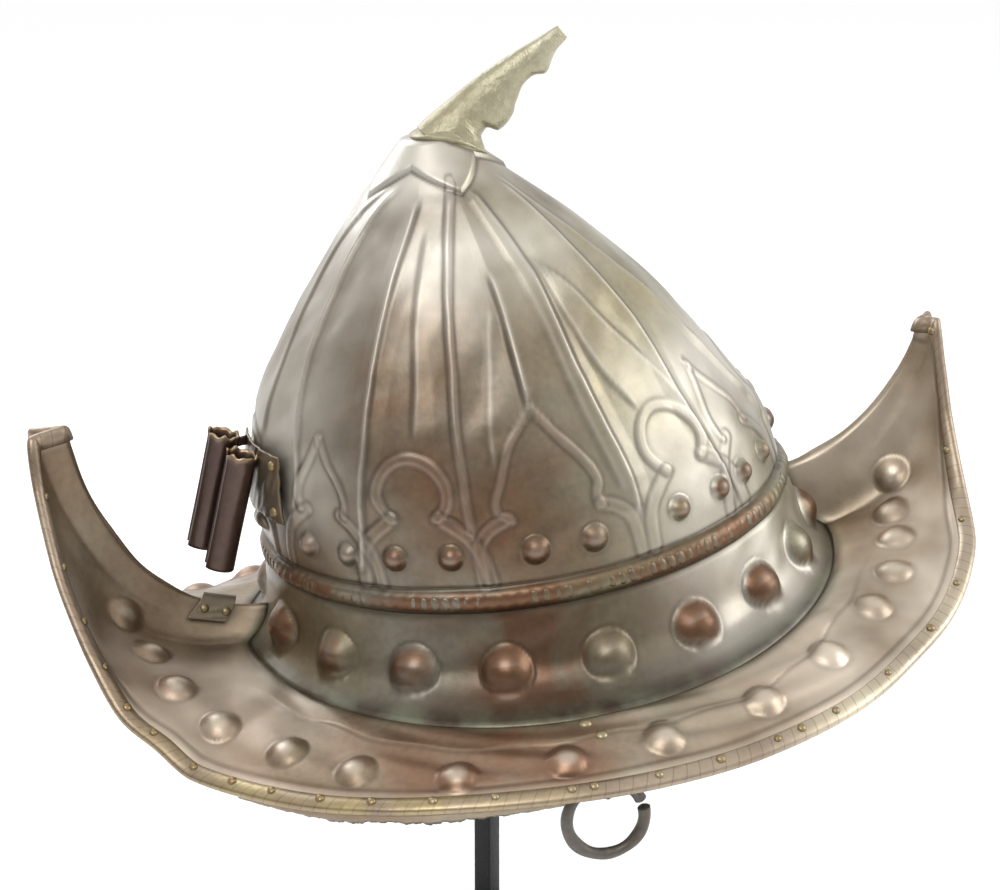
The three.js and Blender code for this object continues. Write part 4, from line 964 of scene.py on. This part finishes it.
# %% Rivets of the binding, the patch and the brim
BINDING_RIVETS = [2, 8, 16, 27, 36, 47, 58, 64, 68, 77, 86, 95, 98, 108, 116, 124, 131, 138, 144, 150,
                  156, 160, 164, 168, 172, 176, 190, 200, 212, 226, 242, 258, 274, 290, 306, 322, 338, 350]
rivet_places = edge_frame(np.array(BINDING_RIVETS, float), 3.0, OUTSIDE)
rivet_out = brim_normal(np.array(BINDING_RIVETS, float), 1.0)
rivets = repeat("binding_rivets", dome_tree, rivet_places, rivet_out, brass,
                Length=0.0032, Width=0.0032, Rise=0.0009)
pin_turns, pin_shares = np.array([94.0, 92.0]), np.array([0.08, 0.30])
staple_rivets = brim_point(pin_turns, pin_shares, np.array([SHEET / 2, SHEET / 2]))
pins = repeat("brim_pins", dome_tree, staple_rivets, brim_normal(pin_turns, pin_shares), brass,
              Length=0.0048, Width=0.0048, Rise=0.0014)

# %% [markdown]
# ## The stalk
# The apex carries a stalk, a separate casting with a collar over the four-cornered cap of the
# skull. Its end is broken off, and its surface was hatched with a file. Sections along one line
# give its flat, leaning shape, and the collar is lofted from a ring on the cap to one of them.

# %% Stalk
STALK_SECTIONS = np.array([
    [-0.200, 0.120, -0.200, 0.85], [-0.135, 0.200, -0.260, 1.00], [0.000, 0.205, -0.260, 0.92],
    [0.150, 0.194, -0.199, 0.80], [0.200, 0.190, -0.115, 0.68], [0.250, 0.186, -0.110, 0.62],
    [0.300, 0.182, -0.175, 0.60], [0.430, 0.169, -0.165, 0.52], [0.500, 0.158, -0.118, 0.46],
    [0.600, 0.140, -0.070, 0.40], [0.690, 0.121, -0.077, 0.34], [0.760, 0.105, -0.112, 0.30],
    [0.850, 0.084, -0.083, 0.25], [0.930, 0.068, -0.052, 0.20], [1.010, 0.048, -0.045, 0.10],
])
STALK_LENGTH, STALK_HALF_WIDTH, STALK_BACK, STALK_SINK, STALK_TURN = 59.5, 11.5, 11.0, 3.0, 34.5
lean = math.radians(STALK_TURN)
ahead = np.array([math.cos(lean), 0, math.sin(lean)])
upright = np.array([-math.sin(lean), 0, math.cos(lean)])
foot = np.array([-STALK_BACK, 0, SKULL_HEIGHT - STALK_SINK])
along = np.linspace(-0.06, 1.005, 150)
upper, lower, half = (curve_through(STALK_SECTIONS[:, 0], STALK_SECTIONS[:, k])(along) for k in (1, 2, 3))
spin = np.linspace(0, 2 * math.pi, 56, endpoint=False)
lower = lower + 0.005 * np.sin(along * 31) * smooth_step(0.1, 0.3, along)
ups = ((upper + lower) / 2)[:, None] + ((upper - lower) / 2)[:, None] * np.cos(spin)[None, :]
sides = (half * STALK_HALF_WIDTH)[:, None] * np.sin(spin)[None, :]
hatch = 0.10 * np.sin(along[:, None] * 330 + 5 * np.sin(spin * 3)[None, :])
hatch *= smooth_step(0.0, 0.1, along)[:, None]
sides = sides * (1 + 0.02 * hatch) + np.sign(sides) * hatch
stalk_rings = (foot + ahead * (along * STALK_LENGTH)[:, None, None]
               + upright * (ups * STALK_LENGTH)[..., None] + np.array([0, 1.0, 0]) * sides[..., None])
stalk = add_piece("stalk_casting", *fanned(stalk_rings), cast_brass)
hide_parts("apex_stalk")

# %% Collar at the stalk's foot
collar_rear, collar_front, COLLAR_HALF = np.array([-24.3, 0, 192.2]), np.array([3.6, 0, 182.0]), 11.6
collar_turn = np.linspace(0, 2 * math.pi, 64, endpoint=False)
collar_middle, collar_reach = (collar_rear + collar_front) / 2, (collar_rear - collar_front) / 2
low_ring = (collar_middle + collar_reach * np.cos(collar_turn)[:, None]
            + np.array([0, COLLAR_HALF, 0]) * np.sin(collar_turn)[:, None]
            + np.array([0, 0, 4.0]) * np.sin(collar_turn)[:, None] ** 2)
collar_at = 0.13
top_up, top_low, top_half = (float(curve_through(STALK_SECTIONS[:, 0], STALK_SECTIONS[:, k])(collar_at))
                             for k in (1, 2, 3))
high_ring = (foot + ahead * collar_at * STALK_LENGTH + np.array([0, top_half * STALK_HALF_WIDTH, 0])
             * np.sin(collar_turn)[:, None] + upright * STALK_LENGTH
             * ((top_up + top_low) / 2 + (top_up - top_low) / 2 * np.cos(collar_turn))[:, None])
inward_ring = high_ring + (high_ring.mean(0) - high_ring) * 0.12
collar_rings = [low_ring + (collar_middle - low_ring) * 0.3 - upright * 3.0, low_ring - upright * 1.6]
for share in np.linspace(0, 1, 14):
    waist = share ** 0.62
    ring_ = low_ring + (inward_ring - low_ring) * waist
    ring_[:, 2] += (share - waist) * (high_ring - low_ring)[:, 2] * 0.9
    collar_rings.append(ring_)
collar = add_piece("stalk_collar", *fanned(np.array(collar_rings)), cast_brass)

# %% [markdown]
# ## Plume tubes
# Two tubes rolled from thin sheet hold the feathers, with their open seams to the rear. A plate
# riveted to the skull carries them on two short webs. Each tube is a grid of turns and depths.

# %% Tubes, webs and plate
TUBES = [(168, 0.452, 1.42), (178, 0.470, 2.05)]
TUBE_RADIUS, TUBE_LENGTH, TUBE_SHEET, TUBE_SLIT = 5.9, 47.0, 0.9, 50.0
tilt = math.radians(21)


def closed_strip(outside, inside):
    """Two facing grids of the same size as one closed thin sheet."""
    n, m = outside.shape[:2]
    points = np.concatenate([outside.reshape(-1, 3), inside.reshape(-1, 3)])
    faces = ring_faces(n, m, False, False).tolist()
    faces += [[d + n * m for d in reversed(face)] for face in faces]
    border = [(0, k) for k in range(m)] + [(i, m - 1) for i in range(1, n)]
    border += [(n - 1, k) for k in range(m - 2, -1, -1)] + [(i, 0) for i in range(n - 2, 0, -1)]
    index = [i * m + k for i, k in border]
    for a, b in zip(index, index[1:] + index[:1]):
        faces.append([b, a, a + n * m, b + n * m])
    return points, faces


for seed, (turn_, height, stand) in enumerate(TUBES):
    top = skull_point(turn_, height * SKULL_HEIGHT, stand * TUBE_RADIUS)
    phi = np.radians(np.linspace(180 + TUBE_SLIT / 2, 180 + 360 - TUBE_SLIT / 2, 44))
    down = np.linspace(0, TUBE_LENGTH, 40)
    torn = 0.9 * np.abs(np.sin(phi * 3.1 + seed)) + 0.4 * np.sin(phi * 9)
    grids = []
    for radius in (TUBE_RADIUS, TUBE_RADIUS - TUBE_SHEET):
        bulge = 0.07 * np.sin(down[:, None] / 7 + seed) + 0.05 * np.sin(phi[None, :] * 4 + down[:, None] / 9)
        flare = 0.5 * hill(down / 2.2, 1)[:, None]
        reach_ = radius + bulge + flare
        depth = down[:, None] + torn[None, :] * hill(down / 4, 1)[:, None]
        local = np.stack([reach_ * np.cos(phi), reach_ * np.sin(phi), -depth], -1)
        grids.append(np.stack([local[..., 0] * math.cos(tilt) + local[..., 2] * math.sin(tilt), local[..., 1],
                               -local[..., 0] * math.sin(tilt) + local[..., 2] * math.cos(tilt)], -1) + top)
    points, faces = closed_strip(*grids)
    rim = np.tile(np.repeat(hill(down / 1.3, 1), 44), 2)
    tube = add_piece(f"plume_tube_{seed + 1}", points, faces, dark_tube, marks={"worn": rim, "warmth": rim})
    web_height = 0.463 * SKULL_HEIGHT - 2
    begin = skull_point(turn_, web_height, 2.65)
    finish = top.copy()
    finish[0] -= (top[2] - begin[2]) * math.tan(tilt)
    finish[2] = begin[2]
    run_ = finish - begin
    length = np.linalg.norm(run_) - TUBE_RADIUS + TUBE_SHEET / 2
    forward = run_ / np.linalg.norm(run_)
    sideways = np.cross([0, 0, 1], forward)
    rounds = np.linspace(0, 2 * math.pi, 16, endpoint=False)
    flat_side = 0.6 * np.sign(np.cos(rounds)) * np.abs(np.cos(rounds)) ** 0.5
    tall_side = 2.0 * np.sign(np.sin(rounds)) * np.abs(np.sin(rounds)) ** 0.5
    oval = sideways * flat_side[:, None] + np.array([0, 0, 1]) * tall_side[:, None]
    rings = np.array([begin + forward * s * length + oval * w
                      for s, w in ((0, 0.2), (0, 1), (0.5, 0.9), (1, 1), (1, 0.2))])
    ends_closed = [list(reversed(range(16))), list(range(64, 80))]
    web_faces = ring_faces(5, 16, True, False).tolist() + ends_closed
    web = add_piece(f"plume_web_{seed + 1}", rings.reshape(-1, 3), web_faces, dark_tube)

plate_levels = np.linspace(0.326, 0.463, 40) * SKULL_HEIGHT
plate_turns, plate_heights = np.meshgrid(np.linspace(155, 184, 60), plate_levels)
wave = 0.25 * uneven(plate_turns * 6, plate_heights / 6, 3)
plate_grids = [skull_point(plate_turns, plate_heights, 2.2 + thick + wave) for thick in (0.9, 0.0)]
points, faces = closed_strip(*plate_grids)
plate = add_piece("plume_plate", points, faces, bronze, marks={"warmth": np.full(len(points), 0.3)})
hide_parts("plume_holder")
plate_rivet_turns, plate_rivet_heights = np.array([158., 158., 181., 181.]), np.array([66., 84., 66., 84.])
plate_rivet_places = skull_point(plate_rivet_turns, plate_rivet_heights, np.full(4, 3.1))
repeat("plate_rivets", dome_tree, plate_rivet_places,
       skull_normal(plate_rivet_turns, plate_rivet_heights / SKULL_HEIGHT), brass,
       Length=0.004, Width=0.004, Rise=0.0013)

# %% [markdown]
# ## Repairs and the torn edge
# A thin tongue is riveted over a crack in the rear peak. Below the near edge a torn strip of the
# old lining sheet still hangs under the binding.

# %% Rear patch
patch_turns, patch_share = np.meshgrid(np.linspace(178.05, 179.95, 40), np.linspace(0.42, 0.88, 60))
rows_at = brim_middle(patch_turns, 0.0)
patch_run = (np.linalg.norm(brim_middle(patch_turns, 0.05) - rows_at, axis=-1) / 0.05)
patch_start = 0.6 / patch_run
patch_across = patch_start + (1 - patch_start) * 0.35 * patch_share
patch_lift = np.full(patch_turns.shape, SHEET / 2 + 1.5)
foot_line_ = brim_point(patch_turns, patch_start, patch_lift)
head_line_ = brim_point(patch_turns, patch_start + (1 - patch_start) * 0.35, patch_lift)
patch_base = foot_line_ + (head_line_ - foot_line_) * patch_share[..., None]
patch_up = brim_normal(patch_turns, patch_across)
patch_wave = 0.12 * uneven(patch_turns * 30, patch_share * 3, 8)
points, faces = closed_strip(patch_base + patch_up * (0.95 + patch_wave)[..., None], patch_base)
patch = add_piece("repair_tongue", points, faces, bronze, marks={"warmth": np.full(len(points), 0.8)})
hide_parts("rear_patch")
patch_pins = [(patch_base + patch_up * 0.95)[i, k] for i, k in ((8, 20), (44, 22))]
patch_out = [patch_up[i, k] for i, k in ((8, 20), (44, 22))]
tongue_rivets = repeat("tongue_rivets", dome_tree, np.array(patch_pins), np.array(patch_out), brass,
                       Length=0.0036, Width=0.0036, Rise=0.0010)

# %% Torn strip
flap_turns = np.linspace(99, 143, 260)
hang = curve_through([99, 105, 111, 117, 123, 128, 133, 143],
                     [0.10, 0.45, 0.70, 0.95, 0.65, 0.90, 0.55, 0.10])
teeth = 0.5 * np.sin(flap_turns * 1.9) + 0.35 * np.sin(flap_turns * 4.3 + 1) + 0.2 * np.sin(flap_turns * 9.7)
drop = hang(flap_turns) * 5.0 * (1 + 0.22 * teeth)
flap_top = -(SHEET / 2 + 1.2 + BINDING_SHEET)


def frames(inward_mm, ups_mm):
    return np.array([edge_frame(np.array([t]), inward_mm, v)[0] for t, v in zip(flap_turns, ups_mm)])


level = np.full(len(flap_turns), flap_top)
rings = np.stack([frames(9.0, level), frames(4.0, level), frames(0.2, level), frames(0.0, level - 0.3),
                  frames(0.0, level - drop * 0.5 - 0.9), frames(0.1, level - drop - 0.7),
                  frames(0.6, level - drop - 0.9), frames(3.2, level - drop - 0.9),
                  frames(9.0, level - 0.9)], 1)
flap = add_piece("torn_strip", *fanned(rings), brim_bronze)
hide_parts("edge_flap")

# %% [markdown]
# ## Ring and staple
# The ring hangs from an eye under the brim's near side. A smith bends it from rod and leaves a
# gap where its ends meet. It is the one piece that moves, so it rides on its own body.

# %% Ring and staple
ring_top = to_world(brim_point(np.array([92.6]), np.array([0.75]), np.array([-6.9])))[0] * 1000
print("ring hangs from", ring_top.round(2))


def rod(radius, wire, start_turn, end_turn, parts, sides, rough=0.0, closed=False):
    """A bent rod in the XZ plane, its wire a little uneven."""
    turn_ = np.radians(np.linspace(start_turn, end_turn, parts, endpoint=not closed))
    spin_ = np.linspace(0, 2 * math.pi, sides, endpoint=False)
    thick = wire * (1 + rough * np.sin(turn_[:, None] * 5 + 1) * np.sin(turn_[:, None] * 2)
                    - rough * 0.8 * np.abs(np.sin(spin_[None, :] * 2)))
    reach_ = radius + thick * np.cos(spin_)
    return np.stack([reach_ * np.cos(turn_)[:, None], thick * np.sin(spin_),
                     reach_ * np.sin(turn_)[:, None]], -1)


bent = rod(14.0, 2.3, 27.0, 373.0, 150, 24, 0.09)
bent += ring_top - np.array([0, 0, 14.0])
ring = add_piece("hanging_loop", *fanned(bent), iron, world=True, body="ring")
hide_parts("hanging_ring")

eye = rod(4.4, 1.5, 0, 360, 60, 16, 0.05, closed=True)
eye = np.stack([-eye[..., 1], eye[..., 0], eye[..., 2]], -1) + ring_top
staple = add_piece("staple_eye", eye.reshape(-1, 3), ring_faces(60, 16, True, True), iron, world=True)
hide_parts("ring_staple")

# %% [markdown]
# ## The stand
# A square post with a heavy round base, baked black. Only the post shows in the photograph. Its
# corner faces the viewer, and a soft line of light runs down it.

# %% Stand
# Radius and height of the turned disc's edge: 85 mm radius, 14 mm thick, its rims rounded
outline = [(0.5, 0.0), (60, 0.0), (83.4, 0.0), (84.4, 0.5), (85, 1.6), (85, 12.2), (84.6, 13.2), (83.6, 13.9),
           (82.6, 14.0), (50, 14.0), (0.5, 14.0)]
lathe = np.radians(np.linspace(0, 360, 180, endpoint=False))
rings = np.array([[(r * math.cos(t), r * math.sin(t), z) for t in lathe] for r, z in outline])
base = add_piece("stand_disc", *fanned(rings), stand_paint, world=True)
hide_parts("stand_base")

low_corner, high_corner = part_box("stand_post")
bottom, top_ = low_corner.z * 1000, high_corner.z * 1000
corner_round, half_side = 0.9, 4.0
outline = []
for quarter in range(4):
    centre = math.radians(quarter * 90)
    reach_ = (half_side - corner_round) * math.sqrt(2)
    for t in np.linspace(-45, 45, 7):
        angle = centre + math.radians(t)
        outline.append((reach_ * math.cos(centre) + corner_round * math.cos(angle),
                        reach_ * math.sin(centre) + corner_round * math.sin(angle)))
levels = np.concatenate([[bottom], np.linspace(bottom + 0.3, top_ - 0.3, 30), [top_]])
rings = np.array([[(x * (0.97 if z in (bottom, top_) else 1), y * (0.97 if z in (bottom, top_) else 1), z)
                   for x, y in outline] for z in levels])
post = add_piece("stand_upright", *fanned(rings), stand_paint, world=True)
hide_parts("stand_post")
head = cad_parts["stand_head"]
head.data.materials.clear()
head.data.materials.append(stand_paint)
